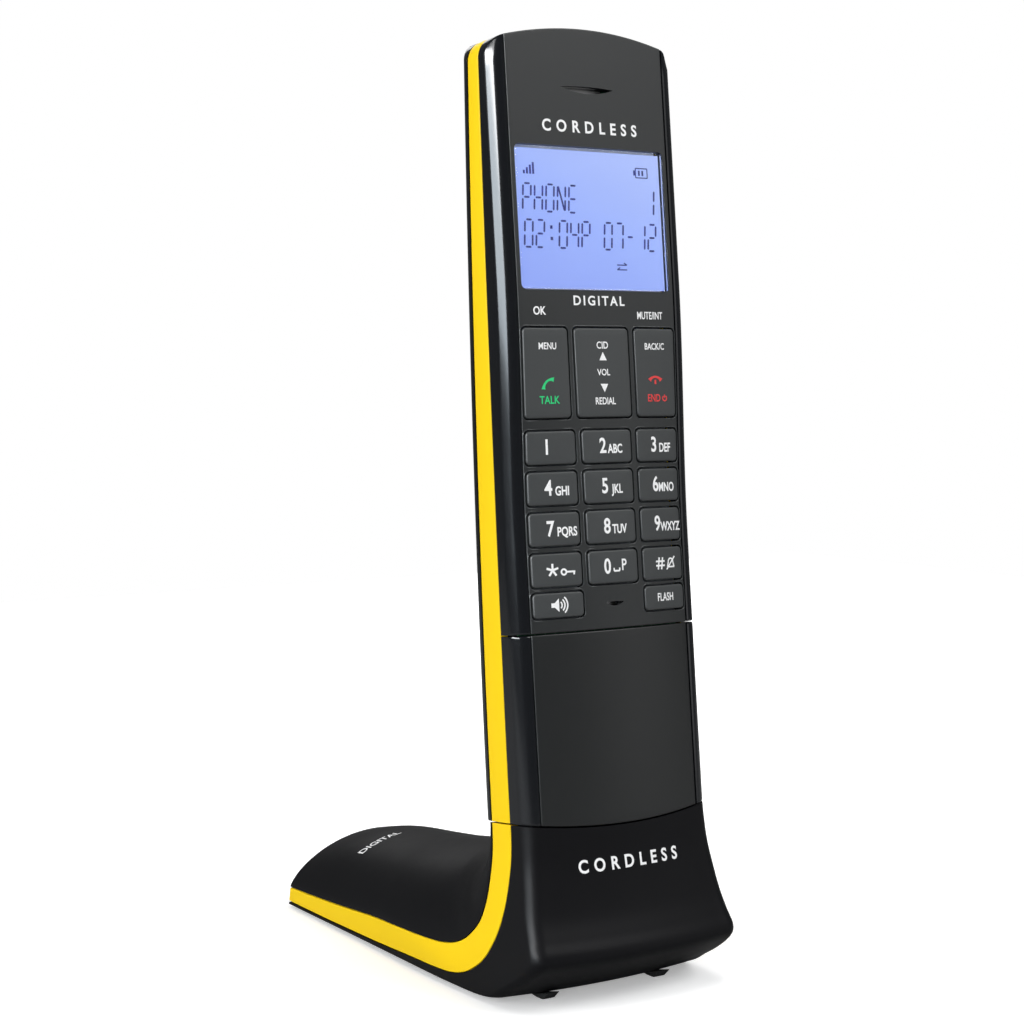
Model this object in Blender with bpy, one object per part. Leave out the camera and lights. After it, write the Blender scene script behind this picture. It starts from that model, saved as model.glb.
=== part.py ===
"""Cordless phone standing on its charging base.

The handset plugs onto a tongue in the neck of an L-shaped base and leans back a little. A coloured band runs
down the sides of the handset, through the seam, and along the sides of the base.

All numbers below are millimetres and make_object turns them into metres. Two frames are used:
  base frame     origin where the front face meets the seam, X to the right, Y to the back, Z up
  handset frame  the same origin, leaning back by LEAN: X to the right, Y into the handset, Z along its length
"""

from math import atan2, cos, hypot, pi, radians, sin

import bmesh
import bpy
import numpy as np

MM = 0.001
GAP = 0.3  # clearance between neighbours
SEAM = 0.35  # shadow gap between handset and base

# Stance
LEAN = radians(5.56)
SEAM_HEIGHT = 40.4  # table to the front of the handset seam
SEAM_Y = -54.0  # puts the origin under the middle of the whole object

# Handset
LENGTH = 182.2
HALF_WIDTH = 26.0
ARCH_DROP, ARCH_HALF = 2.8, 22.6  # the top edge drops this much at this half width
CORNER_R, CORNER_X = 5.2, 21.0
SEAM_RISE = 2.0  # the seam climbs this much from the front's middle to the sides
PLATE_HALF = 22.1
PLATE_T, RECESS, FLOOR_T = 0.9, 1.2, 1.0
WALL = 2.0
CROWN_TOP, CROWN_LOW, CROWN_FROM, CROWN_SPAN = 0.4, 2.4, 125.0, 60.0
ROUND_DEPTH = 3.8  # depth of the rounded strip beside the faceplate
BAND_FRONT, BAND_FRONT_RISE, BAND_FRONT_POWER = 9.4, 4.1, 1.6
BAND_REAR, BAND_REAR_RISE, BAND_REAR_POWER = 17.0, 7.5, 1.7
BACK_BULGE = 5.4
FRONT_SPLIT = 44.5  # seam between the upper and lower front housings
HANDSET_STATIONS = (-4, 12, 28, 44, 60, 72, 84, 96, 108, 118, 128, 145, 165, 188)

# Window and display
WINDOW_HALF, WINDOW_LOW, WINDOW_HIGH = 20.7, 122.4, 154.7

# Keys: centre x, half width; rows by centre and half height
KEY_GAP = 0.4
KEY_PROUD = 0.35
KEY_BACK = 4.4
OUTER_EDGE = 21.4
ROCKER_MID_HALF, ROCKER_INNER = 7.6, 9.5
ROCKER_LOW, ROCKER_HIGH = 93.0, 113.4
DIGIT_MID_HALF, DIGIT_INNER, DIGIT_HALF_HEIGHT = 6.9, 8.8, 3.75
DIGIT_ROWS = (86.3, 77.1, 67.9, 58.7)
SMALL_KEY_LOW, SMALL_KEY_HIGH = 48.0, 53.6
EAR_SLOT_V, EAR_SLOT_HALF = 168.6, 7.4
MIC_SLOT_V, MIC_SLOT_HALF = 50.6, 2.5

# Charging end
TONGUE_TOP, TONGUE_LOW = 9.5, -8.0
TONGUE_HALF, TONGUE_FRONT, TONGUE_BACK, TONGUE_R, TONGUE_WALL = 22.6, 6.0, 17.3, 3.0, 1.6
CONTACT_X, CONTACT_Y = 12.0, 11.6
END_PLATE_LOW, END_PLATE_T = 12.0, 1.6

# Base: one row for each station round the L, from the seam to the rear end, in the base frame.
# half width, front or underside at the middle, where its rounding meets the side, the band's two edges,
# and the neck's back or the foot's top at the middle
BASE_WALL = 2.4
BASE_STATIONS = (
    (26.0, (0.0, 0.0), (6.2, 0.0), (9.2, 0.0), (17.0, 0.0), (22.4, 0.0)),
    (26.3, (-0.8, -7.0), (4.8, -7.0), (8.7, -6.5), (16.4, -6.0), (24.0, -5.4)),
    (26.9, (-2.1, -13.0), (3.2, -12.8), (8.8, -12.4), (16.4, -12.0), (27.2, -8.4)),
    (27.7, (-3.8, -19.0), (1.6, -18.5), (9.3, -18.0), (16.8, -17.6), (31.4, -10.4)),
    (28.3, (-5.8, -23.5), (-0.4, -23.0), (10.8, -23.2), (18.6, -22.6), (36.2, -11.6)),
    (28.9, (-7.4, -26.8), (-2.0, -26.4), (12.9, -27.4), (21.4, -25.9), (41.0, -12.4)),
    (29.2, (-7.0, -29.2), (-1.2, -28.9), (15.4, -30.6), (24.8, -28.3), (46.0, -13.0)),
    (29.5, (-3.4, -32.2), (3.0, -32.4), (18.8, -33.3), (28.8, -29.8), (50.0, -13.5)),
    (29.8, (2.6, -35.8), (8.4, -35.6), (22.8, -35.4), (33.6, -30.6), (54.0, -14.0)),
    (30.0, (10.5, -39.5), (15.0, -38.7), (27.6, -36.6), (39.0, -30.9), (58.0, -14.5)),
    (30.0, (25.0, -39.7), (29.0, -39.2), (34.6, -37.1), (46.0, -31.1), (64.0, -15.3)),
    (29.4, (45.0, -39.7), (46.5, -39.2), (48.5, -37.5), (56.0, -31.5), (70.0, -16.1)),
    (28.4, (65.0, -39.7), (65.0, -39.3), (65.0, -38.2), (68.0, -32.1), (77.0, -17.0)),
    (27.4, (85.0, -39.7), (85.0, -39.4), (85.0, -38.6), (86.0, -33.4), (88.0, -18.0)),
    (26.6, (102.0, -39.7), (102.0, -39.5), (102.0, -38.8), (102.0, -34.3), (101.5, -19.2)),
    (26.0, (115.5, -39.7), (115.5, -39.5), (115.3, -38.8), (114.6, -34.8), (113.0, -21.5)),
)
FOOT_BOTTOM = -39.7
PANEL_FRONT, PANEL_BACK = 110.2, 112.4
SOCKET_LOW, SOCKET_HIGH, SOCKET_FRONT = -36.2, -27.4, 101.5
LINE_X, POWER_X = (-14.0, -3.6), (4.4, 12.8)
PAGE_BUTTON_Y, PAGE_BUTTON_R = 48.0, 4.5
REAR_FOOT = (17.0, 100.0, 4.0)
BASE_SCREW = (14.0, 76.0)
HANDSET_SCREW = (16.0, 92.0)

COLOURS = {
    "gloss_black": ((0.012, 0.013, 0.016), 0.12),
    "satin_black": ((0.02, 0.02, 0.022), 0.42),
    "charcoal": ((0.045, 0.047, 0.05), 0.38),
    "key_charcoal": ((0.05, 0.052, 0.055), 0.45),
    "yellow": ((0.95, 0.68, 0.02), 0.3),
    "clear": ((0.75, 0.8, 0.9), 0.05),
    "display_blue": ((0.3, 0.45, 0.95), 0.3),
    "white_plastic": ((0.8, 0.8, 0.8), 0.5),
    "board_green": ((0.03, 0.2, 0.08), 0.5),
    "rubber": ((0.03, 0.03, 0.03), 0.8),
    "silicone": ((0.3, 0.32, 0.34), 0.7),
    "cell_sleeve": ((0.05, 0.3, 0.15), 0.35),
    "nickel": ((0.7, 0.69, 0.66), 0.25),
    "steel": ((0.5, 0.5, 0.5), 0.4),
}
METALS = {"nickel", "steel"}


def clear_scene():
    for obj in list(bpy.data.objects):
        bpy.data.objects.remove(obj, do_unlink=True)


def material(slot):
    """The Principled material of this slot, made once."""
    found = bpy.data.materials.get(slot)
    if found:
        return found
    made = bpy.data.materials.new(slot)
    made.use_nodes = True
    shader = made.node_tree.nodes["Principled BSDF"]
    colour, roughness = COLOURS[slot]
    shader.inputs["Base Color"].default_value = (*colour, 1)
    shader.inputs["Roughness"].default_value = roughness
    shader.inputs["Metallic"].default_value = 1.0 if slot in METALS else 0.0
    return made


def make_empty(name, place, lean):
    empty = bpy.data.objects.new(name, None)
    empty.location = [c * MM for c in place]
    empty.rotation_euler.x = -lean
    bpy.context.collection.objects.link(empty)
    return empty


def make_object(name, points, faces, slot, frame, origin=(0, 0, 0)):
    """One closed mesh with its faces turned outwards. points are in the frame's millimetres, and origin is the
    point that becomes the object's own origin."""
    mesh = bpy.data.meshes.new(name)
    local = (np.asarray(points, float) - origin) * MM
    mesh.from_pydata(local.tolist(), [], [list(map(int, face)) for face in faces])
    work = bmesh.new()
    work.from_mesh(mesh)
    bmesh.ops.remove_doubles(work, verts=work.verts, dist=1e-6)
    bmesh.ops.recalc_face_normals(work, faces=work.faces)
    work.to_mesh(mesh)
    work.free()
    obj = bpy.data.objects.new(name, mesh)
    obj.location = [c * MM for c in origin]
    obj.parent = frame
    mesh.materials.append(material(slot))
    bpy.context.collection.objects.link(obj)
    return obj


def smooth_edges(obj, angle=30):
    obj.data.shade_smooth()
    obj.data.set_sharp_from_angle(angle=radians(angle))
    return obj


def bevel(obj, width):
    edge = obj.modifiers.new("edge", "BEVEL")
    edge.width = width * MM
    edge.segments = 1
    edge.limit_method = "ANGLE"
    return obj


def boolean(obj, cutter, operation="DIFFERENCE"):
    cut = obj.modifiers.new(cutter.name, "BOOLEAN")
    cut.operation = operation
    cut.solver = "EXACT"
    cut.object = cutter
    return obj


def hidden(obj):
    obj.hide_render = True
    obj.display_type = "WIRE"
    return obj


# ---------------------------------------------------------------- point and face builders


def loft(rings):
    """Closed rings joined in order, with a flat face over each end."""
    rings = np.asarray(rings, float)
    count, around = rings.shape[:2]
    faces = wrap_faces(count, around)
    faces.append(list(range(around)))
    faces.append([(count - 1) * around + j for j in range(around)])
    return rings.reshape(-1, 3), faces


def shell_loft(outer, inner):
    """A bent sheet: each station has an outer row and an inner row of as many points, joined at both edges."""
    outer, inner = np.asarray(outer, float), np.asarray(inner, float)
    rings = np.concatenate([outer, inner[:, ::-1]], axis=1)
    count, around = rings.shape[:2]
    half = around // 2
    faces = wrap_faces(count, around)
    for start in (0, (count - 1) * around):
        faces += [
            [start + j, start + j + 1, start + around - 2 - j, start + around - 1 - j]
            for j in range(half - 1)
        ]
    return rings.reshape(-1, 3), faces


def wrap_faces(count, around):
    return [
        [i * around + j, i * around + (j + 1) % around,
         (i + 1) * around + (j + 1) % around, (i + 1) * around + j]
        for i in range(count - 1)
        for j in range(around)
    ]


def join_parts(parts):
    """Points and faces of several separate closed shapes as one list."""
    points, faces = [], []
    for some_points, some_faces in parts:
        shift = len(points)
        points += [tuple(p) for p in np.asarray(some_points, float)]
        faces += [[shift + i for i in face] for face in some_faces]
    return points, faces


def box(low, high):
    (x0, y0, z0), (x1, y1, z1) = low, high
    rings = [[(x0, y0, z), (x1, y0, z), (x1, y1, z), (x0, y1, z)] for z in (z0, z1)]
    return loft(rings)


def prism(outline, low, high, axis):
    """A flat outline carried along an axis. The outline's two numbers are the other two axes, in X, Y, Z order."""
    rings = [[np.insert(np.asarray(p, float), axis, level) for p in outline] for level in (low, high)]
    return loft(rings)


def disc(centre, radius, low, high, axis, sides=20):
    turns = [2 * pi * k / sides for k in range(sides)]
    outline = [(centre[0] + radius * cos(t), centre[1] + radius * sin(t)) for t in turns]
    return prism(outline, low, high, axis)


def turned(centre, profile, axis, sides=20):
    """A round piece: profile is a list of (radius, level) along the axis."""
    rings = []
    for radius, level in profile:
        turns = [2 * pi * k / sides for k in range(sides)]
        flat = [(centre[0] + radius * cos(t), centre[1] + radius * sin(t)) for t in turns]
        rings.append([np.insert(p, axis, level) for p in flat])
    return loft(rings)


def rounded_rectangle(low, high, radius, steps=3):
    """Corner arcs of the rectangle between two opposite corners, anticlockwise."""
    centres = (
        (high[0] - radius, high[1] - radius), (low[0] + radius, high[1] - radius),
        (low[0] + radius, low[1] + radius), (high[0] - radius, low[1] + radius),
    )
    return [
        (cx + radius * cos(t), cy + radius * sin(t))
        for quarter, (cx, cy) in enumerate(centres)
        for t in (pi / 2 * (quarter + k / steps) for k in range(steps + 1))
    ]


# ---------------------------------------------------------------- handset surfaces


def smooth_step(t):
    t = min(max(t, 0.0), 1.0)
    return t * t * (3 - 2 * t)


def crown_depth(v):
    """How far the faceplate's edges lie behind its middle."""
    return CROWN_TOP + (CROWN_LOW - CROWN_TOP) * smooth_step((CROWN_FROM - v) / CROWN_SPAN)


def face_depth(x, v):
    return crown_depth(v) * (x / PLATE_HALF) ** 2


def band_front(v):
    return BAND_FRONT - BAND_FRONT_RISE * max(v / LENGTH, 0) ** BAND_FRONT_POWER


def band_rear(v):
    return BAND_REAR - BAND_REAR_RISE * max(v / LENGTH, 0) ** BAND_REAR_POWER


def back_depth(x, v, half=HALF_WIDTH):
    """The rear cover's surface: flat in the middle, with its sides turning forward to the band."""
    return band_rear(v) + BACK_BULGE * max(1 - (abs(x) / half) ** 6, 0) ** 0.45


def mirrored(half_row):
    """A row given from the middle to the right side, made into one from the left side to the right."""
    return [(-x, *rest) for x, *rest in reversed(half_row[1:])] + list(half_row)


def at(v, row):
    return [(x, d, v) for x, d in row]


def quarter(x0, d0, x1, d1, steps=4):
    """A quarter ellipse that leaves (x0, d0) sideways and reaches (x1, d1) going back."""
    turns = [pi / 2 * k / steps for k in range(1, steps + 1)]
    return [(x0 + (x1 - x0) * sin(t), d0 + (d1 - d0) * (1 - cos(t))) for t in turns]


def housing_front_row(v):
    """Front housing: a recessed floor for the plate, a step, and the rounded strip."""
    edge = crown_depth(v)
    ledge = PLATE_HALF + GAP
    floor = [(x, face_depth(x, v) + RECESS) for x in (0, ledge / 3, ledge * 2 / 3, ledge)]
    strip = [(ledge, edge), *quarter(ledge, edge, HALF_WIDTH, edge + ROUND_DEPTH)]
    return mirrored(floor + strip)


def cavity_ring(v, spare=0.0):
    """The handset's inner wall, or a piece that fits in it with some room to spare."""
    inset = RECESS + FLOOR_T + spare
    half = HALF_WIDTH - WALL - spare
    turn_in = PLATE_HALF - spare
    edge = crown_depth(v) + inset
    front = [(x, face_depth(x, v) + inset) for x in (0, turn_in / 2, turn_in)]
    front += quarter(turn_in, edge, half, edge + 2.4, 3)
    back = [(half * sin(t) ** 0.5, back_depth(half * sin(t) ** 0.5, v, half) - WALL - spare)
            for t in (pi / 2, pi / 3, pi / 6, 0)]
    row = front + [(x, max(d, band_rear(v) - 1)) for x, d in back]
    left = [(-x, d) for x, d in reversed(row[1:-1])]
    return at(v, row + left)


def outline_top(x):
    return LENGTH - ARCH_DROP * (x / ARCH_HALF) ** 2


def outline(drop=0.0, low=None):
    """The handset seen from the front: arched top, rounded corners, and the seam's curve at the bottom."""
    radius = CORNER_R - drop / 2
    start = atan2(2 * ARCH_DROP * CORNER_X / ARCH_HALF**2, 1)
    middle = outline_top(CORNER_X + radius * sin(start)) - drop - radius * cos(start)
    arc = [pi / 2 - start - k / 5 * (pi / 2 - start) for k in range(6)]
    corner = [(CORNER_X + radius * cos(t), middle + radius * sin(t)) for t in arc]
    arch = [(x, outline_top(x) - drop) for x in (0, 5.5, 11, 16.5)]
    half = arch + corner
    if low is None:
        xs = [half[-1][0] * k / 6 for k in range(6, 0, -1)]
        half += [(x, SEAM_RISE * (x / HALF_WIDTH) ** 2 + SEAM / 2) for x in xs] + [(0, SEAM / 2)]
    else:
        half += [(half[-1][0], low), (0, low)]
    return half + [(-x, v) for x, v in reversed(half[1:-1])]


def handset_solid(name, rows, slot, frame, cutters):
    """A piece of the handset's outside: its full solid, cut to the outline and hollowed by the cavity."""
    obj = make_object(name, *loft(rows), slot, frame)
    boolean(obj, cutters["outline"], "INTERSECT")
    boolean(obj, cutters["cavity"])
    return smooth_edges(obj)


def stations(low, high):
    return [low, *[v for v in HANDSET_STATIONS if low < v < high], high]


# ---------------------------------------------------------------- handset pieces


def handset_cutters(frame):
    cavity = make_object("cut_cavity", *loft([cavity_ring(v) for v in HANDSET_STATIONS]), "steel", frame)
    inner = make_object("cut_inner_outline", *prism(outline(WALL, -30), -20, 60, 1), "steel", frame)
    boolean(hidden(cavity), hidden(inner), "INTERSECT")
    outer = make_object("cut_outline", *prism(outline(), -20, 60, 1), "steel", frame)
    return {"cavity": cavity, "outline": hidden(outer)}


def key_spans():
    """Each key's name with its lowest and highest corner on the front, in handset X and Z."""
    spans = {
        "menu_talk_key": ((-OUTER_EDGE, ROCKER_LOW), (-ROCKER_INNER, ROCKER_HIGH)),
        "navigation_key": ((-ROCKER_MID_HALF, ROCKER_LOW), (ROCKER_MID_HALF, ROCKER_HIGH)),
        "back_end_key": ((ROCKER_INNER, ROCKER_LOW), (OUTER_EDGE, ROCKER_HIGH)),
    }
    columns = ((-OUTER_EDGE, -DIGIT_INNER), (-DIGIT_MID_HALF, DIGIT_MID_HALF), (DIGIT_INNER, OUTER_EDGE))
    names = ("1", "2", "3", "4", "5", "6", "7", "8", "9", "star", "0", "hash")
    for index, name in enumerate(names):
        v = DIGIT_ROWS[index // 3]
        x0, x1 = columns[index % 3]
        spans["key_" + name] = ((x0, v - DIGIT_HALF_HEIGHT), (x1, v + DIGIT_HALF_HEIGHT))
    spans["speaker_key"] = ((-OUTER_EDGE, SMALL_KEY_LOW), (-DIGIT_INNER, SMALL_KEY_HIGH))
    spans["flash_key"] = ((DIGIT_INNER, SMALL_KEY_LOW), (OUTER_EDGE, SMALL_KEY_HIGH))
    return spans


def slot_outline(v, half, height):
    """A lens-shaped slot: straight on top, bulging below."""
    xs = [half * k / 4 for k in range(-4, 5)]
    return [(x, v - height * (1 - (x / half) ** 2)) for x in xs] + [(0, v + height * 0.25)]


def faceplate_openings():
    grown = [
        prism(rounded_rectangle((x0 - KEY_GAP, z0 - KEY_GAP), (x1 + KEY_GAP, z1 + KEY_GAP), 1.2, 2), -3, 8, 1)
        for (x0, z0), (x1, z1) in key_spans().values()
    ]
    edge = WINDOW_HALF + GAP
    window = rounded_rectangle((-edge, WINDOW_LOW - GAP), (edge, WINDOW_HIGH + GAP), 0.5, 1)
    ear = slot_outline(EAR_SLOT_V, EAR_SLOT_HALF, 1.3)
    mic = slot_outline(MIC_SLOT_V, MIC_SLOT_HALF, 0.8)
    return join_parts(grown + [prism(o, -3, 8, 1) for o in (window, ear, mic)])


def make_front(frame, cutters):
    def rows(low, high):
        return [
            at(v, [(-HALF_WIDTH, band_front(v) - GAP / 2), *housing_front_row(v),
                   (HALF_WIDTH, band_front(v) - GAP / 2)])
            for v in stations(low, high)
        ]

    upper = handset_solid("front_housing_upper", rows(FRONT_SPLIT + GAP / 2, 188), "gloss_black", frame, cutters)
    handset_solid("front_housing_lower", rows(-4, FRONT_SPLIT - GAP / 2), "gloss_black", frame, cutters)
    keypad = rounded_rectangle((-21.8, 47.2), (21.8, 113.9), 1, 1)
    display = rounded_rectangle((-21.0, WINDOW_LOW - GAP), (21.0, WINDOW_HIGH + GAP), 0.5, 1)
    ear = slot_outline(EAR_SLOT_V, EAR_SLOT_HALF, 1.3)
    openings = join_parts([prism(o, -3, 6.5, 1) for o in (keypad, display, ear)])
    boolean(upper, hidden(make_object("cut_housing", *openings, "steel", frame)))


def sheet_rows(half, low, high, depth, thickness, columns=7):
    """Rows of a sheet that follows a surface: depth(x, v) gives it, and the sheet lies behind that."""
    xs = np.linspace(-half, half, columns)
    front = [[(x, depth(x, v), v) for x in xs] for v in stations(low, high)]
    back = [[(x, depth(x, v) + thickness, v) for x in xs] for v in stations(low, high)]
    return front, back


def make_plates(frame, cutters):
    rows = sheet_rows(PLATE_HALF, FRONT_SPLIT + GAP / 2, 188, face_depth, PLATE_T)
    plate = make_object("keypad_faceplate", *shell_loft(*rows), "charcoal", frame)
    boolean(plate, cutters["outline"], "INTERSECT")
    boolean(plate, hidden(make_object("cut_faceplate", *faceplate_openings(), "steel", frame)))
    smooth_edges(plate)
    rows = sheet_rows(PLATE_HALF, -4, FRONT_SPLIT - GAP / 2, face_depth, PLATE_T)
    panel = make_object("lower_front_panel", *shell_loft(*rows), "charcoal", frame)
    smooth_edges(boolean(panel, cutters["outline"], "INTERSECT"))
    rows = sheet_rows(WINDOW_HALF, WINDOW_LOW, WINDOW_HIGH, face_depth, 0.8, 5)
    smooth_edges(make_object("display_window", *shell_loft(*rows), "clear", frame))


def make_band(frame, cutters):
    rows = [
        at(v, [(-HALF_WIDTH, band_front(v) + GAP / 2), (HALF_WIDTH, band_front(v) + GAP / 2),
               (HALF_WIDTH, band_rear(v) - GAP / 2), (-HALF_WIDTH, band_rear(v) - GAP / 2)])
        for v in HANDSET_STATIONS
    ]
    handset_solid("handset_band", rows, "yellow", frame, cutters)


def make_rear(frame, cutters):
    turns = [pi / 2 * k / 8 for k in range(9)]

    def row(v):
        half = [(HALF_WIDTH * sin(t) ** 0.4, back_depth(HALF_WIDTH * sin(t) ** 0.4, v) + GAP / 2) for t in turns]
        return at(v, mirrored(half))

    rear = handset_solid("rear_cover", [row(v) for v in HANDSET_STATIONS], "gloss_black", frame, cutters)
    x, v = HANDSET_SCREW
    slots = [box((-7, 8, 144 + 3 * k), (7, 30, 145.2 + 3 * k)) for k in range(5)]
    door = prism(rounded_rectangle((-17.5, 17), (17.5, 69), 0.3, 1), 8, 30, 1)
    deep = min(back_depth(x + 2.6, v), back_depth(x - 2.6, v))
    wells = [disc((s * x, v), 2.6, deep - 0.8, 30, 1, 16) for s in (-1, 1)]
    holes = [disc((s * x, v), 1.5, 8, deep, 1, 12) for s in (-1, 1)]
    cuts = [join_parts([door, *slots, *wells]), join_parts(holes)]
    for number, shape in enumerate(cuts):
        boolean(rear, hidden(make_object(f"cut_rear_{number}", *shape, "steel", frame)))
    for name, side in (("handset_screw_left", -1), ("handset_screw_right", 1)):
        head = deep - 0.8 + GAP
        screw = turned((side * x, v), [(1.1, head - 4.5), (1.1, head), (2.2, head), (2.2, head + 0.4)], 1, 12)
        make_object(name, *screw, "nickel", frame)
    rows = sheet_rows(17.2, 17.3, 68.7, lambda x, v: back_depth(x, v) - 1.5 + GAP / 2, 1.5)
    smooth_edges(make_object("battery_door", *shell_loft(*rows), "gloss_black", frame))


def make_keys(frame):
    """Each key is a rounded block that reaches through the plate, with a chamfered top that follows the crown."""
    rockers = ("menu_talk_key", "navigation_key", "back_end_key")
    for name, ((x0, z0), (x1, z1)) in key_spans().items():
        rim = rounded_rectangle((x0, z0), (x1, z1), 1.0, 2)
        top = rounded_rectangle((x0 + 0.35, z0 + 0.35), (x1 - 0.35, z1 - 0.35), 0.8, 2)
        rings = [
            [(x, KEY_BACK, v) for x, v in rim],
            [(x, face_depth(x, v), v) for x, v in rim],
            [(x, face_depth(x, v) - KEY_PROUD, v) for x, v in top],
        ]
        middle = ((x0 + x1) / 2, KEY_BACK if name in rockers else 0.0, (z0 + z1) / 2)
        smooth_edges(make_object(name, *loft(rings), "key_charcoal", frame, middle), 20)


def make_handset_insides(frame):
    boxes = {
        "display_panel": ((-20.4, 1.55, 122.8), (20.4, 2.75, 154.3), "display_blue"),
        "backlight_holder": ((-20.4, 3.05, 121.8), (20.4, 4.8, 155.3), "white_plastic"),
        "key_membrane": ((-21.4, 5.5, 46), (21.4, 6.3, 115), "silicone"),
        "handset_board": ((-22.4, 6.8, 17), (22.4, 7.8, 172), "board_green"),
        "battery_contact_upper": ((-12.5, 10.2, 66.2), (12.5, 16.8, 66.8), "nickel"),
        "battery_contact_lower": ((-12.5, 10.2, 19.6), (12.5, 16.8, 20.2), "nickel"),
    }
    for name, (low, high, slot) in boxes.items():
        make_object(name, *box(low, high), slot, frame)
    cell = ((5.25, 20.8), (5.25, 64.4), (1.9, 64.4), (1.9, 65.6))
    for name, x in (("battery_cell_left", -6.2), ("battery_cell_right", 6.2)):
        smooth_edges(make_object(name, *turned((x, 13.6), cell, 2, 16), "cell_sleeve", frame))
    rounds = {
        "earpiece_receiver": ((0, EAR_SLOT_V), 6.0, 3.1, 6.1),
        "ringer_speaker": ((0, 150.6), 9.0, 8.6, 12.4),
        "microphone": ((0, MIC_SLOT_V), 2.0, 2.6, 4.6),
    }
    for name, (centre, radius, low, high) in rounds.items():
        smooth_edges(make_object(name, *disc(centre, radius, low, high, 1, 16), "steel", frame))


def make_charging_end(frame):
    """The handset's end plate with its two contacts, and the base's tongue with its two sprung pins."""
    rings = [cavity_ring(v, GAP) for v in (END_PLATE_LOW, END_PLATE_LOW + END_PLATE_T)]
    make_object("handset_end_plate", *loft(rings), "satin_black", frame)
    outer = rounded_rectangle((-TONGUE_HALF, TONGUE_FRONT), (TONGUE_HALF, TONGUE_BACK), TONGUE_R)
    wall = TONGUE_WALL
    inner = rounded_rectangle((wall - TONGUE_HALF, TONGUE_FRONT + wall),
                              (TONGUE_HALF - wall, TONGUE_BACK - wall), TONGUE_R - wall)
    tongue = make_object("docking_tongue", *prism(outer, TONGUE_LOW, TONGUE_TOP, 2), "satin_black", frame)
    hollow = prism(inner, TONGUE_LOW - 5, TONGUE_TOP - wall, 2)
    boolean(bevel(tongue, 0.5), hidden(make_object("cut_tongue", *hollow, "steel", frame)))
    holes = [disc((s * CONTACT_X, CONTACT_Y), 1.3, 2, 14, 2, 16) for s in (-1, 1)]
    boolean(tongue, hidden(make_object("cut_pin_holes", *join_parts(holes), "steel", frame)))
    pin = ((1.0, 3.0), (1.0, 10.3), (0.5, END_PLATE_LOW - 2.5 * GAP - 0.25))
    for side, label in ((-1, "left"), (1, "right")):
        place = (side * CONTACT_X, CONTACT_Y)
        smooth_edges(make_object(f"charge_pin_{label}", *turned(place, pin, 2, 12), "nickel", frame,
                                 (*place, 0)))
        low = (place[0] - 2, place[1] - 3, END_PLATE_LOW - 2 * GAP - 0.1)
        high = (place[0] + 2, place[1] + 3, END_PLATE_LOW - GAP)
        make_object(f"charge_contact_{label}", *box(low, high), "nickel", frame)


# ---------------------------------------------------------------- base surfaces


def base_station_table(per_step=2):
    """The stations with a smooth curve through them: a Catmull-Rom blend of each column."""
    rows = np.array([[half, *front, *turn, *band0, *band1, *back]
                     for half, front, turn, band0, band1, back in BASE_STATIONS])
    padded = np.vstack([2 * rows[0] - rows[1], rows, 2 * rows[-1] - rows[-2]])
    found = []
    for i in range(1, len(rows)):
        a, b, c, d = padded[i - 1], padded[i], padded[i + 1], padded[i + 2]
        for k in range(per_step):
            t = k / per_step
            found.append(b + t * (c - a) / 2 + t * t * (a - 2.5 * b + 2 * c - d / 2)
                         + t**3 * (1.5 * (b - c) + (d - a) / 2))
    return found + [rows[-1]]


def to_seam(x, depth):
    """A point of the seam's ring, given by its depth in the handset frame, in the base frame."""
    v = SEAM_RISE * (x / HALF_WIDTH) ** 2 - SEAM / 2
    return (x, v * sin(LEAN) + depth * cos(LEAN), v * cos(LEAN) - depth * sin(LEAN))


def placed(row, first):
    return [to_seam(x, y) for x, y, _ in row] if first else row


def blend(start, end, t):
    return start + (end - start) * t


def front_row(station, inset=0.0):
    """The front or underside of one station, from the left band edge to the right one."""
    half = station[0] - inset
    middle, turn, edge, other, back = station[1:].reshape(5, 2)
    inward = (back - middle) / hypot(*(back - middle))
    middle = middle + inward * inset
    turn = blend(turn, edge, 0.5) if inset else turn
    edge = edge - (other - edge) / hypot(*(other - edge)) * GAP / 2
    crown, corner = 0.38, 3.6 - inset / 2
    flat = half - corner
    row = [(flat * t, *blend(middle, turn, crown * t * t)) for t in (0, 1 / 3, 2 / 3, 1)]
    for t in (pi / 8, pi / 4, 3 * pi / 8, pi / 2):
        row.append((flat + corner * sin(t), *blend(middle, turn, crown + (1 - crown) * (1 - cos(t)))))
    row.append((half, *edge))
    return mirrored(row)


def back_row(station, share, inset=0.0):
    """The neck's back or the foot's top of one station. share runs from 0 at the seam to 1 at the rear end,
    and turns a flat back with rolled sides into a dome."""
    half = station[0] - inset
    middle, _, edge0, edge, back = station[1:].reshape(5, 2)
    inward = (middle - back) / hypot(*(middle - back))
    back = back + inward * inset
    edge = edge + (edge - edge0) / hypot(*(edge - edge0)) * GAP / 2
    flatness = blend(4.0, 2.0, smooth_step(share * 2.2))
    power = blend(1.2, 1.4, share)
    row = []
    for k in range(7):
        t = pi / 2 * k / 6
        row.append((half * sin(t) ** (2 / flatness), *blend(edge, back, cos(t) ** power)))
    return mirrored(row)


def band_rows(station):
    """The four corners of the right band's section."""
    half = station[0]
    _, _, edge0, edge1, _ = station[1:].reshape(5, 2)
    step = (edge1 - edge0) / hypot(*(edge1 - edge0)) * GAP / 2
    ends = ((half, *(edge0 + step)), (half, *(edge1 - step)))
    return [*ends, *[(half - BASE_WALL, y, z) for _, y, z in reversed(ends)]]


# ---------------------------------------------------------------- base pieces


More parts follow.
